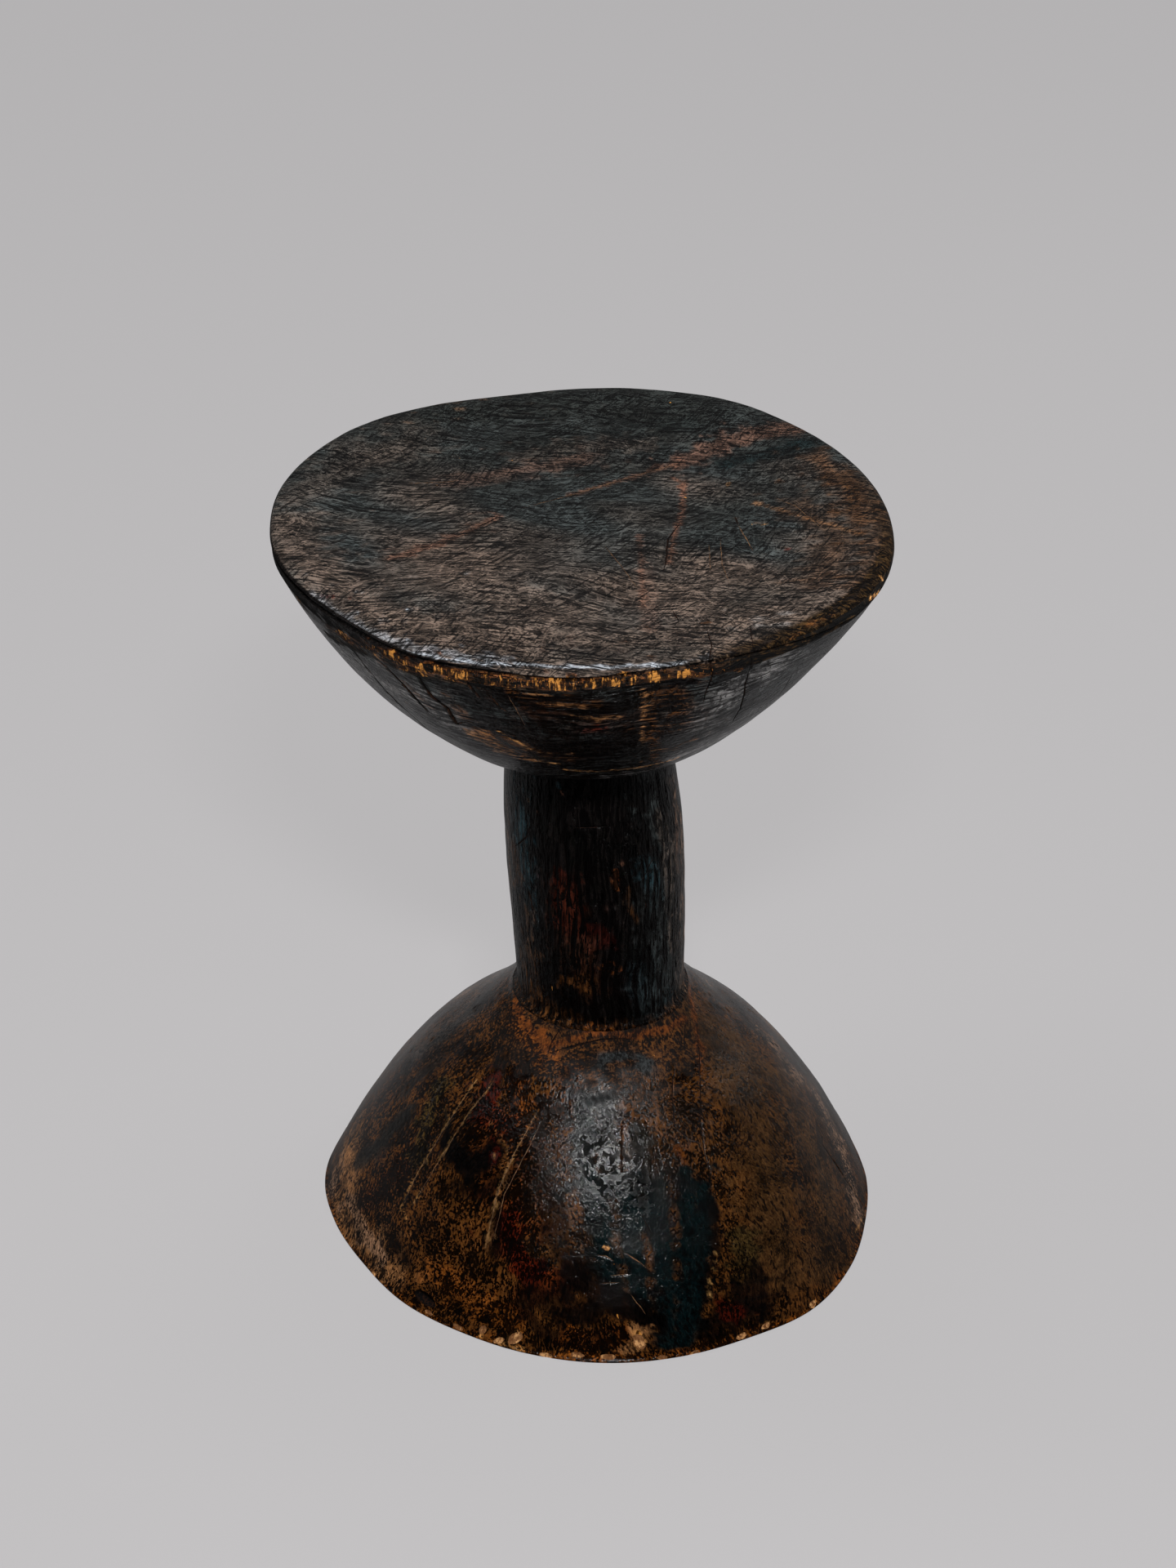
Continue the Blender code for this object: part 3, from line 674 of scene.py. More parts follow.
# The seat's two broad tones: finish, share in the middle, the distance over which it grows by 1 backwards
# or, below 0, forwards, and the share, size and seed of its unevenness
SEAT_TONES = (
    ("smoke", 0.25, -0.2, 1.0, 0.05, 21),
    ("pitch", 0.1, 0.16, 0.6, 0.06, 22),
)
SEAT_TONE_MOST = 0.85
# Where the bowl's tones set in below the seat's top: start and width of each fade, the second also painted
# shade
BOWL_SLATE = (0.009, 0.002)
BOWL_DARK_AND_SHADE = (0.03, 0.03)
# The rim's band is painted from this share of the seat's outline outwards, in full a little further on
RIM_EDGE = (0.9, 0.03)
# The groove's painted shade: where it starts under the lip, how much sooner where it is darkest, inset, soft
# edge
GROOVE_START, GROOVE_EARLIER, GROOVE_INSET, GROOVE_SOFT = 0.0013, 0.0004, 0.0004, 0.0003
# The scorched band reaches a little below the raw one, which keeps inside it
SCORCH_OVERLAP, SCORCH_SOFT, SCORCH_STRENGTH = 0.0006, 0.0012, 0.9
RAW_INSET, RAW_SOFT = 0.0008, 0.0014
# The raw band's patches: how often each wave repeats round the rim and where it starts, and their share
RAW_WAVES = ((41.0, 0.0), (23.0, 1.0), (67.0, 2.0))
RAW_WAVE_SHARE = 0.22
# Splinters stand only where the raw patches are stronger than this
SPLINTER_STRENGTH = 0.6
# The dark bevel at the right: from and to how far below the lip, and its soft edge
BEVEL_START, BEVEL_END, BEVEL_SOFT = 0.0006, 0.0094, 0.0006
# How far the worn umber climbs up the column from its crease, and the worn ochre up the foot
COLUMN_WEAR_HEIGHT = 0.006
FOOT_WEAR_HEIGHT = 0.004


def smooth_between(before, first, second, after, part):
    """Smooth value a part of the way from first to second, led by the values on both sides."""
    slope = second - before
    bend = 2.0 * before - 5.0 * first + 4.0 * second - after
    twist = 3.0 * (first - second) + after - before
    return first + 0.5 * part * (slope + part * (bend + part * twist))


def around(shares, angle):
    """Closed smooth curve through evenly spaced shares, read at many angles."""
    table = np.asarray(shares, float)
    place = np.asarray(angle, float) / math.tau * len(table)
    first = np.floor(place).astype(int)
    near = [table[(first + step) % len(table)] for step in (-1, 0, 1, 2)]
    return smooth_between(*near, place - first)


def along(shares, place):
    """Open smooth curve through evenly spaced shares, read at places from 0 to 1."""
    table = np.asarray(shares, float)
    spot = np.asarray(place, float) * (len(table) - 1)
    first = np.clip(np.floor(spot).astype(int), 0, len(table) - 2)
    near = [table[np.clip(first + step, 0, len(table) - 1)] for step in (-1, 0, 1, 2)]
    return smooth_between(*near, spot - first)


def profile(pairs, place):
    """How far down and how far out a profile runs at a place from 0 to 1 along it."""
    return [float(along([pair[side] for pair in pairs], place)) for side in (0, 1)]


def share_around(shares, angle):
    """The same as around, kept between 0 and 1."""
    return np.clip(around(shares, angle), 0.0, 1.0)


def fade(values, start, width):
    """Share that rises from 0 at start to 1 a width further on."""
    return np.clip((values - start) / width, 0.0, 1.0)


def window(values, low, high, soft):
    """Share that is 1 between two values and falls to 0 outside them."""
    rise = np.clip((values - low) / soft + 1.0, 0.0, 1.0)
    fall = np.clip((high - values) / soft + 1.0, 0.0, 1.0)
    return np.minimum(rise, fall)


def quarter_turns(count):
    """Sines and cosines of even steps from nothing to a quarter turn."""
    turns = [0.5 * math.pi * step / count for step in range(count + 1)]
    return [(math.sin(turn), math.cos(turn)) for turn in turns]


def ring(height, radius, shares, hold, count, groove=0.0):
    """One ring of a loft. Height, radius and groove may change from point to point."""
    angle = math.tau * np.arange(count) / count
    middle = -LEAN * along(LEAN_SHARES, height / STOOL_HEIGHT)
    reach = radius * (1.0 + hold * (around(shares, angle) - 1.0)) - groove
    level = np.broadcast_to(height, (count,))
    return np.stack([middle + reach * np.cos(angle), reach * np.sin(angle), level], axis=1)


def seat_ring(height, radius, hold=1.0, groove=0.0):
    return ring(height, radius, SEAT_OUTLINE_SHARES, hold, SEAT_POINTS, groove)


def foot_ring(height, radius, hold=1.0):
    return ring(height, radius, FOOT_OUTLINE_SHARES, hold, FOOT_POINTS)


def dish_rings(worn, sunk):
    """The dish from its middle out, and the lip that drops towards the worn edge."""
    dish = SEAT_RADIUS - SEAT_EDGE_RADIUS - SEAT_DISH_MARGIN
    rings = []
    for share in np.linspace(DISH_START_SHARE, 1.0, DISH_RINGS):
        height = STOOL_HEIGHT - SEAT_DISH_DEPTH * (1.0 - share**2)
        rings.append(seat_ring(height, dish * share, share))
    for share in LIP_RING_SHARES:
        radius = dish + share * (SEAT_RADIUS - worn - dish)
        rings.append(seat_ring(STOOL_HEIGHT - sunk * share**2, radius))
    return rings


def edge_rings(worn, sunk):
    """The worn edge, a quarter turn from the top down to the rim."""
    rings = []
    for sine, cosine in quarter_turns(EDGE_RINGS):
        radius = SEAT_RADIUS - worn * (1.0 - sine)
        rings.append(seat_ring(STOOL_HEIGHT - sunk - worn * (1.0 - cosine), radius))
    return rings


def rim_rings(angle, worn, sunk):
    """The rim below the edge, with its groove and its scored lines."""
    groove = SEAT_GROOVE_DEPTH * np.clip(around(GROOVE_SHARES, angle), 0.0, None)
    line = np.clip(groove / SEAT_GROOVE_DEPTH, 0.0, 1.0)
    rings = []
    for place, inset, hollowed, scored in RIM_PROFILE:
        height = STOOL_HEIGHT - worn - sunk - (SEAT_RIM_HEIGHT - worn - sunk) * place
        cut = hollowed * groove + scored * SCORED_LINE_DEPTH * line
        rings.append(seat_ring(height, SEAT_RADIUS - SEAT_BAND_INSET * inset, 1.0, cut))
    return rings


def bowl_rings():
    """The bowl in one long curve from the rim down to its crease."""
    top = STOOL_HEIGHT - SEAT_RIM_HEIGHT
    crease = COLUMN_TOP_RADIUS + SEAT_COLLAR
    reach = SEAT_RADIUS - SEAT_BAND_INSET - crease
    rings = []
    for step in range(BOWL_RINGS + 1):
        down, out = profile(BOWL_PROFILE_SHARES, step / BOWL_RINGS)
        height = top - (SEAT_DEPTH - SEAT_RIM_HEIGHT) * down
        rings.append(seat_ring(height, crease + reach * out, out))
    return rings


def seat_rings():
    """The seat from the middle of its dish out, over the worn edge and down the bowl to the crease."""
    angle = math.tau * np.arange(SEAT_POINTS) / SEAT_POINTS
    worn = SEAT_EDGE_RADIUS * around(EDGE_WEAR_SHARES, angle)
    sunk = LIP_DROP * around(LIP_DROP_SHARES, angle)
    return dish_rings(worn, sunk) + edge_rings(worn, sunk) + rim_rings(angle, worn, sunk) + bowl_rings()


def column_rings():
    """The column from its top face down, thickest at the bulge."""
    rings = []
    for step in range(COLUMN_RINGS + 1):
        rise = 1.0 - step / COLUMN_RINGS
        low = rise < COLUMN_BULGE_SHARE
        part = rise / COLUMN_BULGE_SHARE if low else (1.0 - rise) / (1.0 - COLUMN_BULGE_SHARE)
        end = COLUMN_FOOT_RADIUS if low else COLUMN_TOP_RADIUS
        radius = end + (COLUMN_BULGE_RADIUS - end) * math.sin(0.5 * math.pi * part)
        height = FOOT_HEIGHT + (STOOL_HEIGHT - SEAT_DEPTH - FOOT_HEIGHT) * rise
        radius += FOOT_COLLAR * max(1.0 - (height - FOOT_HEIGHT) / CREASE_HEIGHT, 0.0) ** 2
        rings.append(ring(height, radius, COLUMN_OUTLINE_SHARES, 1.0, COLUMN_POINTS))
    return rings


def dome_rings():
    """The dome from its crease down to the foot's edge."""
    crease = COLUMN_FOOT_RADIUS + FOOT_COLLAR
    drop = FOOT_HEIGHT - FOOT_EDGE_RADIUS
    rings = []
    for step in range(DOME_RINGS + 1):
        down, out = profile(DOME_PROFILE_SHARES, step / DOME_RINGS)
        rings.append(foot_ring(FOOT_HEIGHT - drop * down, crease + (FOOT_RADIUS - crease) * out, out))
    return rings


def foot_edge_rings(radius, side):
    """A rounded edge of the foot's flat ring, outer with a side of 1 and inner with -1."""
    rings = []
    for sine, cosine in quarter_turns(RING_RINGS)[1:]:
        out = FOOT_EDGE_RADIUS * (1.0 - cosine)
        rings.append(foot_ring(FOOT_EDGE_RADIUS * (1.0 - sine), radius - side * out))
    return rings


def hollow_rings(mouth):
    """The hollow under the foot, from its mouth up to its round top."""
    rings = []
    for sine, cosine in quarter_turns(HOLLOW_RINGS):
        height = FOOT_EDGE_RADIUS + (HOLLOW_DEPTH - FOOT_EDGE_RADIUS) * sine
        radius = HOLLOW_TOP_RADIUS + (mouth - HOLLOW_TOP_RADIUS) * cosine
        rings.append(foot_ring(height, radius, cosine))
    return rings


def foot_rings():
    """The foot from the crease down its dome, across the flat ring and up inside its hollow."""
    mouth = FOOT_RADIUS - FOOT_RING_WIDTH
    flat = FOOT_RING_WIDTH - 2.0 * FOOT_EDGE_RADIUS
    rings = dome_rings() + foot_edge_rings(FOOT_RADIUS, 1.0)
    rings += [foot_ring(0.0, FOOT_RADIUS - FOOT_EDGE_RADIUS - share * flat) for share in FLAT_RING_SHARES]
    return rings + foot_edge_rings(mouth, -1.0)[::-1] + hollow_rings(mouth)


def box_middle(rings):
    """Middle of the box round all the rings, seen from above."""
    points = np.concatenate(rings)
    middle = 0.5 * (points.min(axis=0) + points.max(axis=0))
    middle[2] = 0.0
    return middle


def new_piece(name, points, edges=(), faces=()):
    mesh = bpy.data.meshes.new(name)
    mesh.from_pydata([tuple(point) for point in points], list(edges), list(faces))
    piece = bpy.data.objects.new(name, mesh)
    bpy.context.scene.collection.objects.link(piece)
    return piece


def loft(name, rings, middle):
    """One closed skin over the rings, each end closed by a fan."""
    count = len(rings[0])
    points = np.concatenate(rings) - middle
    ends = [rings[0].mean(axis=0) - middle, rings[-1].mean(axis=0) - middle]
    points = np.concatenate([points, ends])
    step = np.arange(count)
    after = (step + 1) % count
    quads = []
    for row in range(len(rings) - 1):
        upper, lower = row * count, (row + 1) * count
        quads.append(np.stack([upper + step, lower + step, lower + after, upper + after], axis=1))
    last = (len(rings) - 1) * count
    first_end, last_end = len(points) - 2, len(points) - 1
    faces = np.concatenate(quads).tolist()
    faces += [(first_end, int(a), int(b)) for a, b in zip(step, after)]
    faces += [(last_end, last + int(b), last + int(a)) for a, b in zip(step, after)]
    piece = new_piece(name, points.tolist(), faces=faces)
    piece.data.shade_smooth()
    return piece


class Bench:
    """Lays out and joins the nodes of one tree."""

    def __init__(self, tree):
        self.tree = tree

    def put(self, kind, inputs=(), **settings):
        node = self.tree.nodes.new(kind)
        for key, value in settings.items():
            setattr(node, key, value)
        for key, value in dict(inputs).items():
            self.feed(node.inputs[key], value)
        return node

    def feed(self, socket, value):
        if isinstance(value, bpy.types.NodeSocket):
            self.tree.links.new(value, socket)
        else:
            socket.default_value = value

    def math(self, operation, first, second=0.0, clamp=False):
        node = self.put("ShaderNodeMath", operation=operation, use_clamp=clamp)
        self.feed(node.inputs[0], first)
        self.feed(node.inputs[1], second)
        return node.outputs[0]

    def total(self, *values):
        """Sum of several values, added one after another."""
        result = values[0]
        for value in values[1:]:
            result = self.math("ADD", result, value)
        return result

    def times(self, first, second):
        return self.math("MULTIPLY", first, second)

    def minus(self, first, second):
        return self.math("SUBTRACT", first, second)

    def vector(self, operation, first, second=None, scale=None):
        node = self.put("ShaderNodeVectorMath", operation=operation)
        self.feed(node.inputs[0], first)
        if second is not None:
            self.feed(node.inputs[1], second)
        if scale is not None:
            self.feed(node.inputs["Scale"], scale)
        return node.outputs["Vector"]

    def scaled(self, first, share):
        return self.vector("SCALE", first, scale=share)

    def push(self, noise_colour, amount):
        """Push to any side, as far as an amount, made from a noise's colour."""
        return self.scaled(self.vector("SUBTRACT", noise_colour, (0.5, 0.5, 0.5)), amount)

    def ramp(self, value, low, high, bottom=0.0, top=1.0, kind="SMOOTHSTEP"):
        """Value that goes from bottom to top while another goes from low to high."""
        return self.put("ShaderNodeMapRange", {
            "Value": value, "From Min": low, "From Max": high, "To Min": bottom, "To Max": top,
        }, interpolation_type=kind).outputs[0]


class TreeBench(Bench):
    """A bench for Geometry Nodes."""

    def position(self):
        return self.put("GeometryNodeInputPosition").outputs[0]

    def shifted(self, seed):
        """Position moved by a seed, so that each use of a noise is its own."""
        return self.vector("ADD", self.position(), self.put("ShaderNodeCombineXYZ", {"X": seed}).outputs[0])

    def noise(self, vector, size, detail=2.0):
        return self.put("ShaderNodeTexNoise", {
            "Vector": vector, "Scale": self.math("DIVIDE", 1.0, size), "Detail": detail,
        })

    def read(self, name, kind="FLOAT"):
        node = self.put("GeometryNodeInputNamedAttribute", {"Name": name}, data_type=kind)
        return node.outputs["Attribute"]

    def read_vector(self, name):
        return self.read(name, "FLOAT_VECTOR")

    def store(self, geometry, name, value, kind="FLOAT"):
        return self.put("GeometryNodeStoreNamedAttribute", {
            "Geometry": geometry, "Name": name, "Value": value,
        }, data_type=kind, domain="POINT").outputs[0]

    def move(self, geometry, place=None, offset=None):
        node = self.put("GeometryNodeSetPosition", {"Geometry": geometry})
        if place is not None:
            self.feed(node.inputs["Position"], place)
        if offset is not None:
            self.feed(node.inputs["Offset"], offset)
        return node.outputs[0]

    def skin(self, thing):
        return self.put("GeometryNodeObjectInfo", {"Object": thing}).outputs["Geometry"]

    def normal(self):
        return self.put("GeometryNodeInputNormal").outputs[0]

    def onto(self, geometry, skin):
        """Geometry whose points lie on the nearest places of a skin."""
        near = self.put("GeometryNodeProximity", {"Geometry": skin}, target_element="FACES")
        return self.move(geometry, place=near.outputs["Position"])

    def skin_normal(self, skin):
        return self.put("GeometryNodeSampleNearestSurface", {
            "Mesh": skin, "Value": self.normal(),
        }, data_type="FLOAT_VECTOR").outputs["Value"]

    def facing(self, first, second, first_axis, second_axis):
        """Turn that lays one axis along a first direction and another towards a second."""
        return self.put("FunctionNodeAxesToRotation", {
            "Primary Axis": first, "Secondary Axis": second,
        }, primary_axis=first_axis, secondary_axis=second_axis).outputs[0]

    def ball(self, subdivisions):
        """A ball one unit across, for lumps and splinters."""
        return self.put("GeometryNodeMeshIcoSphere", {
            "Radius": 0.5, "Subdivisions": subdivisions,
        }).outputs[0]

    def strewn(self, points, thing, turn, size):
        """A copy of a thing at each point."""
        return self.put("GeometryNodeInstanceOnPoints", {
            "Points": points, "Instance": thing, "Rotation": turn, "Scale": size,
        }).outputs[0]

    def realized(self, geometry):
        return self.put("GeometryNodeRealizeInstances", {"Geometry": geometry}).outputs[0]

    def path(self, geometry):
        return self.put("GeometryNodeMeshToCurve", {"Mesh": geometry}).outputs[0]


def new_tree(name, inputs):
    """An empty Geometry Nodes tree with a geometry socket and named inputs."""
    tree = bpy.data.node_groups.new(name, "GeometryNodeTree")
    tree.interface.new_socket("Geometry", in_out="INPUT", socket_type="NodeSocketGeometry")
    for label, kind, value in inputs:
        socket = tree.interface.new_socket(label, in_out="INPUT", socket_type="NodeSocket" + kind)
        if value is not None:
            socket.default_value = value
    tree.interface.new_socket("Geometry", in_out="OUTPUT", socket_type="NodeSocketGeometry")
    bench = TreeBench(tree)
    return bench, bench.put("NodeGroupInput").outputs, bench.put("NodeGroupOutput").inputs[0]


def finish_tree(bench, geometry, material, result):
    """Every tree ends the same way: real geometry, with its material set."""
    real = bench.realized(geometry)
    coated = bench.put("GeometryNodeSetMaterial", {"Geometry": real, "Material": material})
    bench.feed(result, coated.outputs[0])
    return bench.tree


def carving_tree():
    """Sinks the skin by tool facets, slow waves and fine grain, where the attribute carve allows it."""
    bench, given, result = new_tree("hand carving", (
        ("Facet Size", "Float", 0.014), ("Facet Depth", "Float", 0.0003),
        ("Wave Size", "Float", 0.05), ("Wave Depth", "Float", 0.0004),
        ("Grain Stretch", "Vector", (1.0, 1.0, 1.0)), ("Grain Size", "Float", 0.005),
        ("Grain Depth", "Float", 0.0001), ("Seed", "Float", 0.0), ("Material", "Material", None),
    ))
    moved = bench.shifted(given["Seed"])
    facets = bench.put("ShaderNodeTexVoronoi", {
        "Vector": moved, "Scale": bench.math("DIVIDE", 1.0, given["Facet Size"]), "Smoothness": 0.35,
    }, feature="SMOOTH_F1").outputs["Distance"]
    waves = bench.noise(moved, given["Wave Size"]).outputs[0]
    stretched = bench.vector("MULTIPLY", moved, given["Grain Stretch"])
    grain = bench.noise(stretched, given["Grain Size"], 3.0).outputs[0]
    depth = bench.total(
        bench.times(facets, given["Facet Depth"]), bench.times(waves, given["Wave Depth"]),
        bench.times(grain, given["Grain Depth"]),
    )
    depth = bench.times(depth, bench.read("carve"))
    inwards = bench.scaled(bench.normal(), bench.times(depth, -1.0))
    return finish_tree(bench, bench.move(given["Geometry"], offset=inwards), given["Material"], result)


def laid_path(bench, given, skin):
    """A cut's path in short steps, wandering a little, laid on the skin."""
    curve = bench.put("GeometryNodeResampleCurve", {
        "Curve": bench.path(given["Geometry"]), "Length": given["Step"],
    }, mode="LENGTH").outputs[0]
    drift = bench.noise(bench.shifted(given["Seed"]), given["Wander Size"], 3.0).outputs["Color"]
    curve = bench.move(curve, offset=bench.push(drift, given["Wander"]))
    return bench.onto(curve, skin)


def cut_taper(bench, seed):
    """How much of its width and depth a cut has along its way: pointed at both ends and uneven."""
    share = bench.put("GeometryNodeSplineParameter").outputs["Factor"]
    taper = bench.math("POWER", bench.math("SINE", bench.times(share, math.pi)), 0.6)
    uneven = bench.noise(bench.shifted(seed), 0.003).outputs[0]
    return bench.times(taper, bench.total(uneven, 0.5))


def cut_corners(bench):
    """A cut's section: corner 0 lies at its bottom, corners 1 and 2 at its top, one on each side."""
    corners = bench.put("GeometryNodeCurvePrimitiveCircle", {"Resolution": 3, "Radius": 0.001}).outputs[0]
    corner = bench.put("GeometryNodeInputIndex").outputs[0]
    side = bench.times(corner, bench.minus(2.5, bench.times(corner, 1.5)))
    corners = bench.store(corners, "corner side", side)
    return bench.store(corners, "corner up", bench.math("MINIMUM", corner, 1.0))


def corner_place(bench, lift):
    """Where each corner of a cut belongs, from the values that its path carries."""
    deep = bench.read("deep now")
    flare = bench.math("DIVIDE", bench.total(deep, lift), deep)
    across = bench.times(bench.times(bench.read("wide now"), flare), 0.5)
    across = bench.times(across, bench.read("corner side"))
    rise = bench.minus(bench.times(bench.read("corner up"), bench.total(deep, lift)), deep)
    place = bench.vector("ADD", bench.read_vector("middle"), bench.scaled(bench.read_vector("side"), across))
    return bench.vector("ADD", place, bench.scaled(bench.read_vector("out"), rise))


def wedge_tree():
    """Thin wedges along paths on a skin: what a drying crack, a gouge or a scratch takes out of it."""
    bench, given, result = new_tree("cracks and cuts", (
        ("Skin", "Object", None), ("Step", "Float", 0.0012), ("Wander", "Float", 0.001),
        ("Wander Size", "Float", 0.005), ("Lift", "Float", 0.0008), ("Seed", "Float", 0.0),
        ("Material", "Material", None),
    ))
    skin = bench.skin(given["Skin"])
    curve = laid_path(bench, given, skin)
    out = bench.skin_normal(skin)
    tangent = bench.put("GeometryNodeInputTangent").outputs[0]
    side = bench.vector("NORMALIZE", bench.vector("CROSS_PRODUCT", out, tangent))
    taper = cut_taper(bench, given["Seed"])
    for name, direction in (("middle", bench.position()), ("side", side), ("out", out)):
        curve = bench.store(curve, name, direction, "FLOAT_VECTOR")
    for name, least in (("wide", 0.00005), ("deep", 0.0001)):
        now = bench.math("MAXIMUM", bench.times(bench.read(name), taper), least)
        curve = bench.store(curve, name + " now", now)
    wedge = bench.put("GeometryNodeCurveToMesh", {
        "Curve": curve, "Profile Curve": cut_corners(bench), "Fill Caps": True,
    }).outputs[0]
    wedge = bench.move(wedge, place=corner_place(bench, given["Lift"]))
    return finish_tree(bench, wedge, given["Material"], result)


def chip_tree():
    """Uneven lumps at points of a skin, laid flat on it: what a knock chips out."""
    bench, given, result = new_tree("chips", (
        ("Skin", "Object", None), ("Roughness Size", "Float", 0.002), ("Roughness", "Float", 0.0012),
        ("Seed", "Float", 0.0), ("Material", "Material", None),
    ))
    points = bench.put("GeometryNodeMeshToPoints", {"Mesh": given["Geometry"]}).outputs[0]
    lie = bench.facing(bench.skin_normal(bench.skin(given["Skin"])), bench.read_vector("along"), "Z", "X")
    chips = bench.realized(bench.strewn(points, bench.ball(3), lie, bench.read_vector("size")))
    rough = bench.noise(bench.shifted(given["Seed"]), given["Roughness Size"]).outputs["Color"]
    chips = bench.move(chips, offset=bench.push(rough, given["Roughness"]))
    return finish_tree(bench, chips, given["Material"], result)


def fibre_tree():
    """Short upright splinters of bare wood, standing side by side along paths on a skin."""
    bench, given, result = new_tree("bare wood fibres", (
        ("Skin", "Object", None), ("Spacing", "Float", 0.0006), ("Thickness", "Float", 0.00045),
        ("Length", "Float", 0.0024), ("Scatter", "Float", 0.0014), ("Lean", "Float", 0.3),
        ("Sink", "Float", 0.0002), ("Seed", "Int", 0), ("Material", "Material", None),
    ))

    def chance(low, high, extra):
        node = bench.put("FunctionNodeRandomValue", data_type="FLOAT_VECTOR")
        bench.feed(node.inputs[0], low)
        bench.feed(node.inputs[1], high)
        bench.feed(node.inputs["Seed"], bench.total(given["Seed"], extra))
        return node.outputs[0]

    skin = bench.skin(given["Skin"])
    points = bench.put("GeometryNodeCurveToPoints", {
        "Curve": bench.path(given["Geometry"]), "Length": given["Spacing"],
    }, mode="LENGTH").outputs[0]
    scatter = bench.scaled(chance((-1.0, -1.0, -1.0), (1.0, 1.0, 1.0), 1.0), given["Scatter"])
    points = bench.onto(bench.move(points, offset=scatter), skin)
    out = bench.skin_normal(skin)
    points = bench.move(points, offset=bench.scaled(out, bench.times(given["Sink"], -1.0)))
    lean = bench.scaled(chance((-1.0, -1.0, 0.0), (1.0, 1.0, 0.0), 2.0), given["Lean"])
    upright = bench.vector("ADD", (0.0, 0.0, 1.0), lean)
    size = bench.put("ShaderNodeCombineXYZ", {
        "X": given["Thickness"], "Y": given["Thickness"], "Z": given["Length"],
    }).outputs[0]
    size = bench.vector("MULTIPLY", size, chance((0.6, 0.5, 0.35), (1.3, 1.4, 1.2), 3.0))
    fibres = bench.strewn(points, bench.ball(1), bench.facing(out, upright, "X", "Z"), size)
    return finish_tree(bench, fibres, given["Material"], result)


def run_tree(piece, tree, values):
    """Runs a tree on a piece and keeps the result as its plain mesh."""
    modifier = piece.modifiers.new(tree.name, "NODES")
    modifier.node_group = tree
    for item in tree.interface.items_tree:
        if item.in_out == "INPUT" and item.name in values:
            modifier[item.identifier] = values[item.name]
    keep_plain(piece)


def keep_plain(piece):
    """Swaps a piece's mesh for the one its modifiers make, and removes them."""
    depsgraph = bpy.context.evaluated_depsgraph_get()
    made = piece.evaluated_get(depsgraph)
    plain = bpy.data.meshes.new_from_object(made, preserve_all_data_layers=True, depsgraph=depsgraph)
    piece.modifiers.clear()
    piece.data = plain


def camera_turn():
    return Matrix.Rotation(CAMERA_TILT, 4, "X") @ Matrix.Rotation(CAMERA_ROLL, 4, "Z")


def sight(across, down):
    """Direction in which the photograph's camera sees one of its pixels."""
    focal = CAMERA_LENS / CAMERA_SENSOR * PHOTO_HEIGHT
    local = Vector((across - 0.5 * PHOTO_WIDTH, 0.5 * PHOTO_HEIGHT - down, -focal))
    return (camera_turn() @ local).normalized()


def gathered(pieces):
    """Points and faces of several pieces as one."""
    points, faces = [], []
    for piece in pieces:
        start = len(points)
        points += [tuple(vertex.co) for vertex in piece.data.vertices]
        faces += [[start + corner for corner in face.vertices] for face in piece.data.polygons]
    return points, faces


def skin_of(pieces):
    """Search tree over the skins of several pieces."""
    return BVHTree.FromPolygons(*gathered(pieces))


def joined_copy(pieces):
    """One object with the skins of several pieces, for trees that lay things on the stool."""
    points, faces = gathered(pieces)
    return new_piece("whole_skin", points, faces=faces)


def seen(skin, across, down):
    """Point of the skin under a pixel of the photograph, or None."""
    return skin.ray_cast(CAMERA_PLACE, sight(across, down))[0]


def seen_inward(skin, across, down):
    """The same, but a pixel just outside the stool is moved inwards until it meets it."""
    spot = seen(skin, across, down)
    while spot is None:
        across += INWARD_STEP * (0.5 * PHOTO_WIDTH - across)
        down += INWARD_STEP * (STOOL_MIDDLE_DOWN * PHOTO_HEIGHT - down)
        spot = seen(skin, across, down)
    return spot


def seen_spots(skin, pixels):
    """Points of the skin under pixels of the photograph, as arrays."""
    spots = [seen(skin, *pixel) for pixel in pixels]
    return [np.array(spot) for spot in spots if spot is not None]


def seen_path(skin, pixels):
    """Points of the skin along straight lines between pixels, a few pixels apart."""
    spots = []
    for (x0, y0), (x1, y1) in zip(pixels, pixels[1:]):
        steps = max(int(math.hypot(x1 - x0, y1 - y0) / PATH_GAP), 1)
        for step in range(steps):
            spots.append(seen(skin, x0 + (x1 - x0) * step / steps, y0 + (y1 - y0) * step / steps))
    spots.append(seen(skin, *pixels[-1]))
    return [spot for spot in spots if spot is not None]


def give(piece, name, kind, values):
    """Stores one value for each point of a piece as a named attribute."""
    key = {"FLOAT": "value", "FLOAT_VECTOR": "vector", "FLOAT_COLOR": "color"}[kind]
    attribute = piece.data.attributes.new(name, kind, "POINT")
    attribute.data.foreach_set(key, np.asarray(values, np.float32).ravel())


def steps_between(start, count):
    """Edges that join so many points, one after another."""
    return [(start + step, start + step + 1) for step in range(count - 1)]


def path_piece(name, skin, cuts):
    """A wire with one path for each cut, which carries the cut's width and depth."""
    points, edges, wide, deep = [], [], [], []
    for width, depth, pixels in cuts:
        spots = seen_path(skin, pixels)
        edges += steps_between(len(points), len(spots))
        points += spots
        wide += [width * MILLIMETRE] * len(spots)
        deep += [depth * MILLIMETRE] * len(spots)
    piece = new_piece(name, points, edges)
    give(piece, "wide", "FLOAT", wide)
    give(piece, "deep", "FLOAT", deep)
    return piece


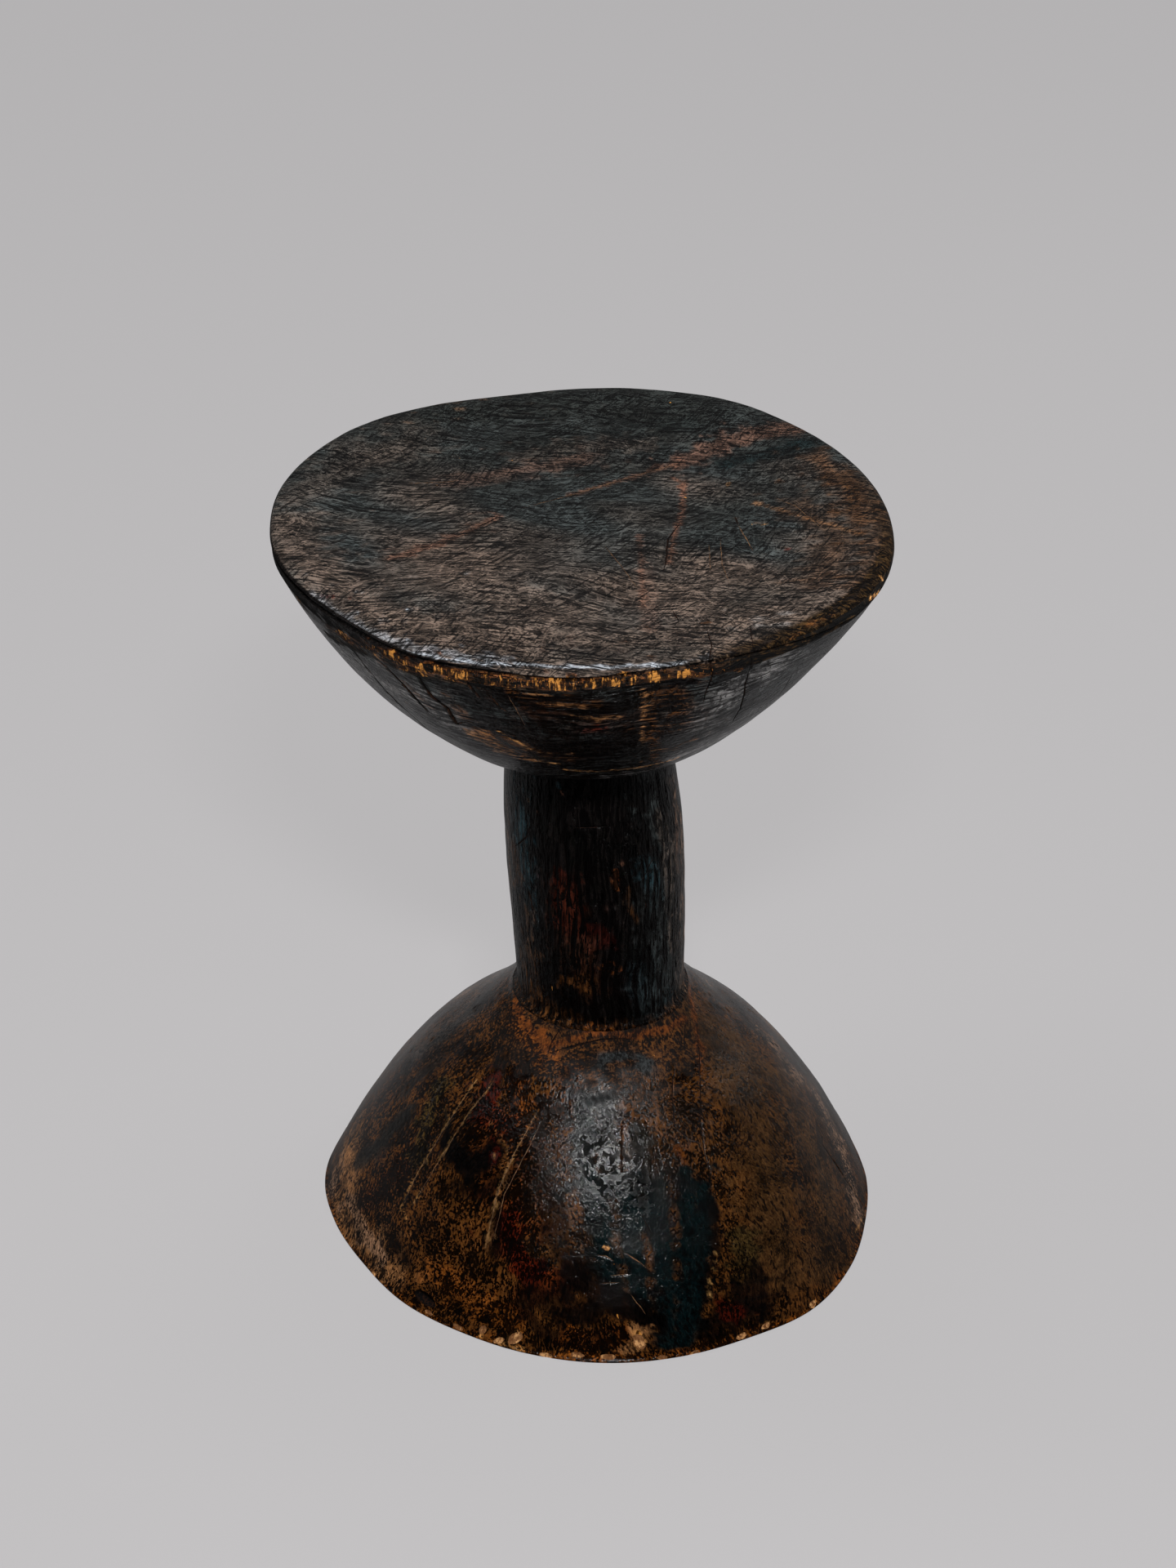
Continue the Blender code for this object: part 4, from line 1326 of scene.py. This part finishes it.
def chip_piece(name, skin, chips):
    """Loose points, each with the size of the chip that is knocked out there and the way it runs."""
    points, sizes, ways = [], [], []
    for long, wide, deep, start, end in chips:
        first, last = seen_inward(skin, *start), seen_inward(skin, *end)
        points.append(0.5 * (first + last))
        sizes.append((long * MILLIMETRE, wide * MILLIMETRE, deep * MILLIMETRE))
        ways.append((last - first).normalized())
    piece = new_piece(name, points)
    give(piece, "size", "FLOAT_VECTOR", sizes)
    give(piece, "along", "FLOAT_VECTOR", ways)
    return piece


def cut_away(piece, cutter):
    """Takes a cutter's shape out of a piece. The cut faces get the cutter's finish."""
    cut = piece.modifiers.new("cut", "BOOLEAN")
    cut.operation = "DIFFERENCE"
    cut.solver = "MANIFOLD"
    cut.material_mode = "TRANSFER"
    cut.object = cutter
    keep_plain(piece)


def points_of(piece):
    points = np.empty(len(piece.data.vertices) * 3)
    piece.data.vertices.foreach_get("co", points)
    return points.reshape(-1, 3)


def wobble(points, size, seed):
    """Uneven value about 0 that changes over a given size."""
    chance = np.random.default_rng(seed)
    total = np.zeros(len(points))
    for _ in range(WOBBLE_WAVES):
        way = chance.normal(size=3)
        way *= chance.uniform(*WOBBLE_REPEATS) / (size * np.linalg.norm(way))
        total += np.sin(points @ way * math.tau + chance.uniform(0.0, math.tau))
    return total / WOBBLE_WAVES


def distance_to_path(spots, path):
    """How far each spot lies from a path."""
    best = np.full(len(spots), np.inf)
    for start, end in zip(path, path[1:] if len(path) > 1 else path):
        span = end - start
        part = np.clip((spots - start) @ span / max(float(span @ span), LEAST_SPAN), 0.0, 1.0)
        gap = spots - start - part[:, None] * span
        best = np.minimum(best, np.einsum("ij,ij->i", gap, gap))
    return np.sqrt(best)


def stroke_share(points, path, width, uneven):
    """Soft share from 1 along a path to 0 at half its width away, with an uneven edge."""
    path = np.array(path)
    low, high = path.min(axis=0) - width, path.max(axis=0) + width
    share = np.zeros(len(points))
    close = np.flatnonzero(((points > low) & (points < high)).all(axis=1))
    if not len(close):
        return share
    reach = distance_to_path(points[close], path) / (0.5 * width)
    reach *= 1.0 + STROKE_UNEVENNESS * uneven[close]
    near = np.clip((1.0 - reach) * (1.0 if width > NARROW_STROKE else NARROW_STROKE_GAIN), 0.0, 1.0)
    share[close] = near * near * (3.0 - 2.0 * near)
    return share


class Coat:
    """The paint on one piece: its colour and gloss, how much the colour covers, and where wood is bare."""

    GLOSS = 3

    def __init__(self, piece, ground):
        self.piece = piece
        self.points = points_of(piece)
        self.uneven = sum(share * wobble(self.points, size, seed) for size, seed, share in STROKE_WAVES)
        self.layers = np.tile(self.recipe(ground), (len(self.points), 1))

    @staticmethod
    def recipe(finish):
        display, cover, gloss, bare = PATINA[finish]
        return np.array([*srgb(*display)[:3], gloss, cover, bare])

    def stroke(self, width, strength, spots):
        """How much a stroke covers of each point."""
        return strength * stroke_share(self.points, spots, width * MILLIMETRE, self.uneven)

    def lay(self, finish, share):
        self.layers += share[:, None] * (self.recipe(finish) - self.layers)

    def brush(self, finish, width, strength, spots):
        if spots:
            self.lay(finish, self.stroke(width, strength, spots))

    def polish(self, gloss, width, strength, spots):
        if spots:
            share = self.stroke(width, strength, spots)
            self.layers[:, self.GLOSS] += share * (gloss - self.layers[:, self.GLOSS])

    def dry(self):
        give(self.piece, "tone", "FLOAT_COLOR", self.layers[:, :4])
        give(self.piece, "cover", "FLOAT", self.layers[:, 4])
        give(self.piece, "bare", "FLOAT", self.layers[:, 5])


def brush_all(coat, skin, strokes):
    for finish, width, strength, pixels in strokes:
        coat.brush(finish, width, strength, seen_spots(skin, pixels))


def polish_all(coat, skin):
    for width, strength, gloss, pixels in POLISH_STROKES:
        coat.polish(gloss, width, strength, seen_spots(skin, pixels))


def weather_unseen(coat, skin, finishes, low, high, count, seed):
    """Patches of wear on the sides that the photograph doesn't show, laid by chance."""
    chance = np.random.default_rng(seed)
    for _ in range(count):
        angle = chance.uniform(*PATCH_ANGLES) * math.pi
        height = chance.uniform(low, high)
        spots = []
        for _ in range(chance.integers(1, PATCH_MOST_SPOTS + 1)):
            out = Vector((math.cos(angle), math.sin(angle), 0.0))
            place = skin.ray_cast(Vector((out.x, out.y, height)), -out)[0]
            if place is not None:
                spots.append(np.array(place))
            angle += chance.uniform(-PATCH_TURN, PATCH_TURN)
            height = min(max(height + chance.uniform(-PATCH_CLIMB, PATCH_CLIMB), low), high)
        finish = str(chance.choice(finishes))
        coat.brush(finish, chance.uniform(*PATCH_WIDTHS), chance.uniform(*PATCH_STRENGTHS), spots)


def srgb(red, green, blue):
    """Linear colour of a display colour from 0 to 255."""
    parts = [value / 255.0 for value in (red, green, blue)]
    return (*[((part + 0.055) / 1.055) ** 2.4 if part > 0.04045 else part / 12.92 for part in parts], 1.0)


class Finish(Bench):
    """Builds one wood finish from layers of colour."""

    def __init__(self, name):
        self.material = bpy.data.materials.new(name)
        self.material.use_nodes = True
        super().__init__(self.material.node_tree)
        self.shader = self.tree.nodes["Principled BSDF"]
        self.place = self.put("ShaderNodeTexCoord").outputs["Object"]

    def bent(self, size, amount):
        """Object coordinates pushed to and fro, so that straight grain runs in slow curves."""
        drift = self.put("ShaderNodeTexNoise", {"Vector": self.place, "Scale": 1.0 / size, "Detail": 1.0})
        return self.vector("ADD", self.place, self.push(drift.outputs["Color"], amount))

    def pattern(self, waves, detail=3.0, roughness=0.55, bend=0.0, turn=0.0, place=None):
        """Uneven pattern with so many waves a metre along each axis."""
        turned = self.put("ShaderNodeMapping", {
            "Vector": self.place if place is None else place, "Rotation": (0.0, 0.0, turn),
            "Scale": tuple(1.0 / share for share in waves),
        }, vector_type="TEXTURE").outputs[0]
        return self.put("ShaderNodeTexNoise", {
            "Vector": turned, "Scale": 1.0, "Detail": detail, "Roughness": roughness, "Distortion": bend,
        }).outputs["Fac"]

    def step(self, value, levels, top=1.0):
        """Share that rises smoothly from 0 at the first level to top at the second."""
        return self.ramp(value, *levels, 0.0, top)

    def over(self, under, share, colour):
        node = self.put("ShaderNodeMix", data_type="RGBA")
        self.feed(node.inputs["Factor"], share)
        self.feed(node.inputs[6], under)
        self.feed(node.inputs[7], colour)
        return node.outputs[2]

    def done(self, colour, roughness, relief, depth, specular):
        self.feed(self.shader.inputs["Base Color"], colour)
        self.feed(self.shader.inputs["Roughness"], roughness)
        self.shader.inputs["Specular IOR Level"].default_value = specular
        bump = self.put("ShaderNodeBump", {"Height": relief, "Distance": depth, "Strength": 1.0})
        self.feed(self.shader.inputs["Normal"], bump.outputs[0])
        return self.material


class Patina(Finish):
    """Old oiled wood: flakes of the painted tone on a dark ground, with light flecks, pits, hairline
    scratches and, where the patina is gone, bare wood."""

    def __init__(self, name, look):
        super().__init__(name)
        self.look = look
        painted = self.put("ShaderNodeAttribute", attribute_name="tone").outputs
        self.tone, self.oil = painted["Color"], painted["Alpha"]
        self.curved = self.bent(*look["bend"])
        self.small = self.pattern(look["small"], roughness=0.6, bend=0.4, place=self.curved)
        self.middle = self.pattern(look["middle"], roughness=0.6, bend=0.8, place=self.curved)
        self.large = self.pattern(LARGE_PATTERN)
        self.grain = self.pattern(look["grain"], detail=2.0, roughness=0.5, bend=0.3, place=self.curved)
        self.relief = self.times(self.small, RELIEF["small"])

    def painted(self, name):
        return self.put("ShaderNodeAttribute", attribute_name=name).outputs["Fac"]

    def lift(self, feature, share):
        """Makes a feature stand out of the skin."""
        self.relief = self.total(self.relief, self.times(share, RELIEF[feature]))

    def sink(self, feature, share):
        """Makes a feature lie deep in the skin."""
        self.relief = self.minus(self.relief, self.times(share, RELIEF[feature]))

    def flakes(self):
        """Where the painted tone covers the dark ground."""
        parts = (self.small, self.middle, self.large, self.minus(self.painted("cover"), 0.5))
        level = self.total(*[self.times(part, share) for part, share in zip(parts, FLAKE_SHARES)])
        return self.step(level, (0.5 - self.look["soft"], 0.5 + self.look["soft"]))

    def old_skin(self):
        """The patina's colour, with its flakes, flecks, pits and hairs, which shape the relief as well."""
        look, flake = self.look, self.flakes()
        uneven = self.total(self.small, self.large)
        shade = self.ramp(uneven, *SHADE_LEVELS, 1.0 - look["shade"], 1.0 + look["shade"], "LINEAR")
        colour = self.over(self.scaled(self.tone, look["ground"]), flake, self.scaled(self.tone, shade))
        pale = self.vector("ADD", self.scaled(colour, look["light"]), srgb(*look["glint"])[:3])
        colour = self.over(colour, self.step(self.grain, FLECK_LEVELS, look["grain share"]), pale)
        bent = self.bent(*PIT_BEND)
        pit = self.pattern(look["grain"], detail=2.0, roughness=0.6, bend=0.3, place=bent)
        pit = self.step(pit, PIT_LEVELS)
        colour = self.over(colour, self.times(pit, look["pits"]), srgb(*BLACK))
        self.lift("grain", self.grain)
        self.lift("flake", flake)
        self.sink("pit", pit)
        for hairs, mark in ((look["light hairs"], pale), (look["dark hairs"], srgb(*BLACK))):
            colour = self.scratched(colour, hairs, mark)
        return colour

    def scratched(self, colour, hairs, mark):
        for waves, turn, share, level in hairs:
            hair = self.pattern(waves, detail=1.5, roughness=0.5, bend=0.3, turn=turn, place=self.curved)
            hair = self.step(hair, (level, level + HAIR_RISE), share)
            colour = self.over(colour, hair, mark)
            self.sink("hair", hair)
        return colour

    def bare_wood(self):
        """Where the patina is gone, and the colour of the wood under it."""
        fibre = self.pattern(BARE_FIBRES, roughness=0.65, bend=0.5)
        knot = self.minus(self.pattern(BARE_KNOTS, detail=2.0), 0.5)
        fibre = self.total(fibre, self.times(knot, BARE_KNOT_SHARE))
        ragged = self.times(fibre, RAGGED_FIBRE_SHARE)
        ragged = self.total(ragged, self.times(self.middle, RAGGED_MIDDLE_SHARE))
        gone = self.step(self.total(self.painted("bare"), ragged), GONE_LEVELS)
        colour = self.over(srgb(*BARE_DARK), self.step(fibre, BARE_MID_LEVELS), srgb(*BARE_MID))
        return gone, self.over(colour, self.step(fibre, BARE_LIGHT_LEVELS), srgb(*BARE_LIGHT))

    def roughness(self, gone):
        """Smooth where it is oiled, duller where the polish is rubbed through or the wood is bare."""
        rough = self.minus(self.look["rough"], self.times(self.oil, self.look["gloss"]))
        waves = self.look["rubbed"]
        rubbed = self.pattern(waves, detail=2.0, roughness=0.6, bend=0.6, place=self.curved)
        rubbed = self.times(self.step(rubbed, RUBBED_LEVELS), self.step(self.oil, POLISHED_LEVELS))
        rough = self.total(rough, self.times(rubbed, self.look["dull"]))
        return self.math("ADD", rough, self.times(gone, BARE_ROUGHER), clamp=True)

    def finished(self):
        colour = self.old_skin()
        gone, wooden = self.bare_wood()
        colour = self.over(colour, gone, wooden)
        self.sink("gone", gone)
        return self.done(colour, self.roughness(gone), self.relief, self.look["depth"], self.look["specular"])


def patina(place):
    return Patina(place + " patina", LOOKS[place]).finished()


def crack_finish():
    wood = Finish("inside of a crack")
    fibre = wood.pattern(CRACK_FIBRES)
    colour = wood.over(srgb(*BLACK), wood.step(fibre, (0.45, 0.6)), srgb(*CRACK_LIGHT))
    return wood.done(colour, roughness=0.9, relief=fibre, depth=0.0005, specular=0.1)


def broken_finish(name):
    """Broken or scratched wood without its patina."""
    wood = Finish(name)
    dark, light = [srgb(*display) for display in BROKEN_WOODS[name]]
    fibre = wood.pattern(BROKEN_FIBRES, detail=4.0, roughness=0.65)
    patch = wood.pattern(BROKEN_PATCHES)
    colour = wood.over(dark, wood.step(fibre, (0.4, 0.58)), light)
    colour = wood.over(colour, wood.step(patch, (0.46, 0.58), 0.85), dark)
    return wood.done(colour, roughness=0.75, relief=fibre, depth=0.001, specular=0.2)


def place_camera():
    data = bpy.data.cameras.new("photo camera")
    data.lens = CAMERA_LENS
    data.sensor_width = CAMERA_SENSOR
    camera = bpy.data.objects.new("photo camera", data)
    camera.matrix_world = Matrix.Translation(CAMERA_PLACE) @ camera_turn()
    bpy.context.scene.collection.objects.link(camera)
    bpy.context.scene.camera = camera


def place_lamp(name, place, aim, size, power):
    data = bpy.data.lights.new(name, "AREA")
    data.shape = "RECTANGLE"
    data.size, data.size_y = size
    data.energy = power
    lamp = bpy.data.objects.new(name, data)
    turn = (Vector(aim) - Vector(place)).to_track_quat("-Z", "Y")
    lamp.matrix_world = Matrix.Translation(Vector(place)) @ turn.to_matrix().to_4x4()
    bpy.context.scene.collection.objects.link(lamp)


def parts_of(bench, vector):
    return bench.put("ShaderNodeSeparateXYZ", {"Vector": vector}).outputs


def light_studio():
    """A dim room with pale walls behind and at the sides, and softboxes in front, above and at the sides."""
    world = bpy.data.worlds.new("studio")
    world.use_nodes = True
    room = Bench(world.node_tree)
    walls = world.node_tree.nodes["Background"]
    walls.inputs["Color"].default_value = srgb(*WALLS)
    way = parts_of(room, room.put("ShaderNodeTexCoord").outputs["Generated"])
    behind, high = room.ramp(way["Y"], *WALLS_BACKWARDS), room.ramp(way["Z"], *WALLS_UPWARDS)
    room.feed(walls.inputs["Strength"], room.times(behind, high))
    bpy.context.scene.world = world
    for lamp in LAMPS:
        place_lamp(*lamp)


def paper_finish():
    """The floor's paper. The camera sees its own colour with a soft shadow, and what the stool's polish
    mirrors of it grows dim towards the front, where the room is dark."""
    paper = bpy.data.materials.new("studio paper")
    paper.use_nodes = True
    sheet = Bench(paper.node_tree)
    shader = paper.node_tree.nodes["Principled BSDF"]
    shader.inputs["Base Color"].default_value = srgb(*PAPER)
    shader.inputs["Roughness"].default_value = 0.9
    shader.inputs["Specular IOR Level"].default_value = 0.1
    place = parts_of(sheet, sheet.put("ShaderNodeTexCoord").outputs["Object"])
    side = sheet.times(sheet.math("ABSOLUTE", place["X"]), 0.5)
    lit = sheet.ramp(sheet.total(place["Y"], side), *FLOOR_MIRRORED)
    ray = sheet.put("ShaderNodeLightPath").outputs
    mirrored = sheet.math("MAXIMUM", ray["Is Glossy Ray"], ray["Is Transmission Ray"])
    strength = sheet.put("ShaderNodeMix", {0: mirrored, 2: 1.0, 3: lit}, data_type="FLOAT").outputs[0]
    glow = sheet.put("ShaderNodeEmission", {"Color": srgb(*PAPER), "Strength": strength})
    direct = sheet.times(sheet.total(ray["Is Camera Ray"], mirrored), FLOOR_SEEN)
    direct = sheet.math("MAXIMUM", direct, mirrored)
    both = sheet.put("ShaderNodeMixShader", {0: direct, 1: shader.outputs[0], 2: glow.outputs[0]})
    sheet.feed(paper.node_tree.nodes["Material Output"].inputs["Surface"], both.outputs[0])
    return paper


def lay_floor():
    """Pale paper without an end."""
    corners = [(x * FLOOR_REACH, y * FLOOR_REACH, 0.0) for x, y in ((-1, -1), (1, -1), (1, 1), (-1, 1))]
    floor = new_piece("studio_floor", corners, faces=[(0, 1, 2, 3)])
    floor.data.materials.append(paper_finish())


def carve_pieces():
    """The three forms with their hand-carved skins."""
    skins = {"seat": seat_rings(), "column": column_rings(), "foot": foot_rings()}
    middle = box_middle([ring for rings in skins.values() for ring in rings])
    pieces = {node: loft("carved_" + node, rings, middle) for node, rings in skins.items()}
    crease = STOOL_HEIGHT - SEAT_DEPTH
    plain_levels = {"seat": (crease, 1.0), "column": (FOOT_HEIGHT, crease), "foot": (0.0, FOOT_HEIGHT)}
    carving = carving_tree()
    for node, piece in pieces.items():
        low, high = plain_levels[node]
        level = points_of(piece)[:, 2]
        give(piece, "carve", "FLOAT", fade(np.minimum(level - low, high - level), 0.0, CARVE_FADE))
        run_tree(piece, carving, CARVING[node] | {"Material": patina(node)})
        piece.data.attributes.remove(piece.data.attributes["carve"])
    return pieces


def finish_bowl(seat):
    """Gives the seat's underside its own patina."""
    seat.data.materials.append(patina("bowl"))
    for face in seat.data.polygons:
        if face.center.z < STOOL_HEIGHT - BOWL_START and face.normal.z < BOWL_FACE_RISE:
            face.material_index = 1


def mark_pieces(pieces, skin):
    """Cuts the cracks, gouges, scratches and chips out of the pieces."""
    crack = crack_finish()
    gouge = broken_finish("wood in a gouge")
    scratch = broken_finish("scratched wood")
    broken = broken_finish("chipped wood")
    wedges, lumps = wedge_tree(), chip_tree()
    host = joined_copy(pieces.values())
    cutters = []
    for name, make, marks, tree, finish, seed in (
        ("cracks", path_piece, DRYING_CRACKS, wedges, crack, 1.0),
        ("gouges", path_piece, GOUGES, wedges, gouge, 2.0),
        ("scratches", path_piece, LIGHT_SCRATCHES, wedges, scratch, 3.0),
        ("chips", chip_piece, CHIPS, lumps, broken, 4.0),
        ("pits", chip_piece, PITS, lumps, crack, 5.0),
    ):
        cutter = make(name, skin, marks)
        run_tree(cutter, tree, {"Skin": host, "Seed": seed, "Material": finish})
        cutters.append(cutter)
    bpy.data.objects.remove(host)
    for cutter in cutters:
        for piece in pieces.values():
            cut_away(piece, cutter)
        bpy.data.objects.remove(cutter)


def splinter_rim(seat, skin):
    """Splinters that stand along the rim's raw patches, as one more part of the seat's mesh."""
    points, edges = [], []
    for _, strength, pixels in RAW_PATCHES:
        spots = seen_path(skin, pixels) if strength > SPLINTER_STRENGTH else []
        edges += steps_between(len(points), len(spots))
        points += spots
    path = new_piece("rim_path", points, edges)
    host = joined_copy([seat])
    run_tree(path, fibre_tree(), {"Skin": host, "Material": broken_finish("splinters")})
    bpy.data.objects.remove(host)
    return path


def join_onto(piece, extra):
    """Adds one piece's mesh to another's."""
    with bpy.context.temp_override(active_object=piece, selected_editable_objects=[piece, extra]):
        bpy.ops.object.join()


def seat_measures(points):
    """Each point's angle round the seat, how far it lies below the top, and how near its outline."""
    middle = 0.5 * (points.min(axis=0) + points.max(axis=0))
    across, back = points[:, 0] - middle[0], points[:, 1] - middle[1]
    angle = np.arctan2(back, across) % math.tau
    outer = around(SEAT_OUTLINE_SHARES, angle) * SEAT_RADIUS
    return angle, STOOL_HEIGHT - points[:, 2], fade(np.hypot(across, back) / outer, *RIM_EDGE)


def raw_patches(angle):
    """How bare the rim's band is along its way round: whole in front, in patches elsewhere."""
    patchy = sum(np.sin(angle * waves + start) for waves, start in RAW_WAVES)
    return np.clip(around(RAW_BAND_SHARES, angle) + RAW_WAVE_SHARE * patchy, 0.0, 1.0)


def paint_rim(seat, skin, angle, below, edge):
    """The painted shade in the groove under the lip, the scorched and raw band below it and the dark bevel at
    the right.
    """
    top, low = around(BAND_TOP, angle) * MILLIMETRE, around(BAND_LOW, angle) * MILLIMETRE
    dark = share_around(DARK_GROOVE_SHARES, angle)
    band = share_around(RAW_BAND_SHARES, angle)
    below_lip = below - LIP_DROP * around(LIP_DROP_SHARES, angle)
    start = GROOVE_START - GROOVE_EARLIER * np.clip(dark * 10.0 - 9.0, 0.0, 1.0)
    # Painted shade: black laid in the groove under the lip.
    seat.lay("painted recess shade", window(below_lip, start, top - GROOVE_INSET, GROOVE_SOFT) * dark * edge)
    scorched = window(below, top, low + SCORCH_OVERLAP, SCORCH_SOFT)
    seat.lay("scorched", scorched * SCORCH_STRENGTH * band * edge)
    raw = window(below, top + RAW_INSET, low - RAW_INSET, RAW_SOFT)
    seat.lay("raw", raw * raw_patches(angle) * edge)
    for width, strength, pixels in RAW_PATCHES:
        seat.brush("raw", width, strength, [np.array(spot) for spot in seen_path(skin, pixels)])
    bevel = window(below_lip, BEVEL_START, BEVEL_END, BEVEL_SOFT)
    seat.lay("scorched", bevel * share_around(BEVEL_SHARES, angle) * edge)
    brush_all(seat, skin, RIM_STROKES)


def paint_seat(piece, skin):
    seat = Coat(piece, "slate")
    for finish, share, distance, uneven, size, seed in SEAT_TONES:
        tone = share + seat.points[:, 1] / distance + uneven * wobble(seat.points, size, seed)
        seat.lay(finish, np.clip(tone, 0.0, SEAT_TONE_MOST))
    angle, below, edge = seat_measures(seat.points)
    seat.lay("slate", fade(below, *BOWL_SLATE))
    # Painted shade: the bowl grows darker towards the column, under the seat, over its dark patina.
    seat.lay("night", 0.6 * fade(below, *BOWL_DARK_AND_SHADE))
    weather_unseen(seat, skin, *UNSEEN_WEAR["seat"])
    brush_all(seat, skin, SEAT_STROKES + BOWL_STROKES + LIP_STROKES)
    paint_rim(seat, skin, angle, below, edge)
    polish_all(seat, skin)
    seat.dry()


def paint_column(piece, skin):
    column = Coat(piece, "night")
    weather_unseen(column, skin, *UNSEEN_WEAR["column"])
    rise = column.points[:, 2] - FOOT_HEIGHT
    column.lay("umber", np.clip(1.0 - rise / COLUMN_WEAR_HEIGHT + 1.5 * column.uneven, 0.0, 0.9))
    brush_all(column, skin, COLUMN_STROKES)
    column.dry()


def paint_foot(piece, skin):
    foot = Coat(piece, "umber")
    weather_unseen(foot, skin, *UNSEEN_WEAR["foot"])
    brush_all(foot, skin, FOOT_STROKES)
    rise = foot.points[:, 2]
    foot.lay("ochre", 0.6 * np.clip(1.0 - rise / FOOT_WEAR_HEIGHT + foot.uneven, 0.0, 1.0))
    polish_all(foot, skin)
    foot.dry()


def main():
    pieces = carve_pieces()
    finish_bowl(pieces["seat"])
    skin = skin_of(pieces.values())
    mark_pieces(pieces, skin)
    join_onto(pieces["seat"], splinter_rim(pieces["seat"], skin))
    paint_seat(pieces["seat"], skin)
    paint_column(pieces["column"], skin)
    paint_foot(pieces["foot"], skin)
    for node, piece in pieces.items():
        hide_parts(node)
        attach(piece, "root")
    place_camera()
    light_studio()
    lay_floor()
    bpy.context.scene.view_settings.view_transform = "Standard"


main()
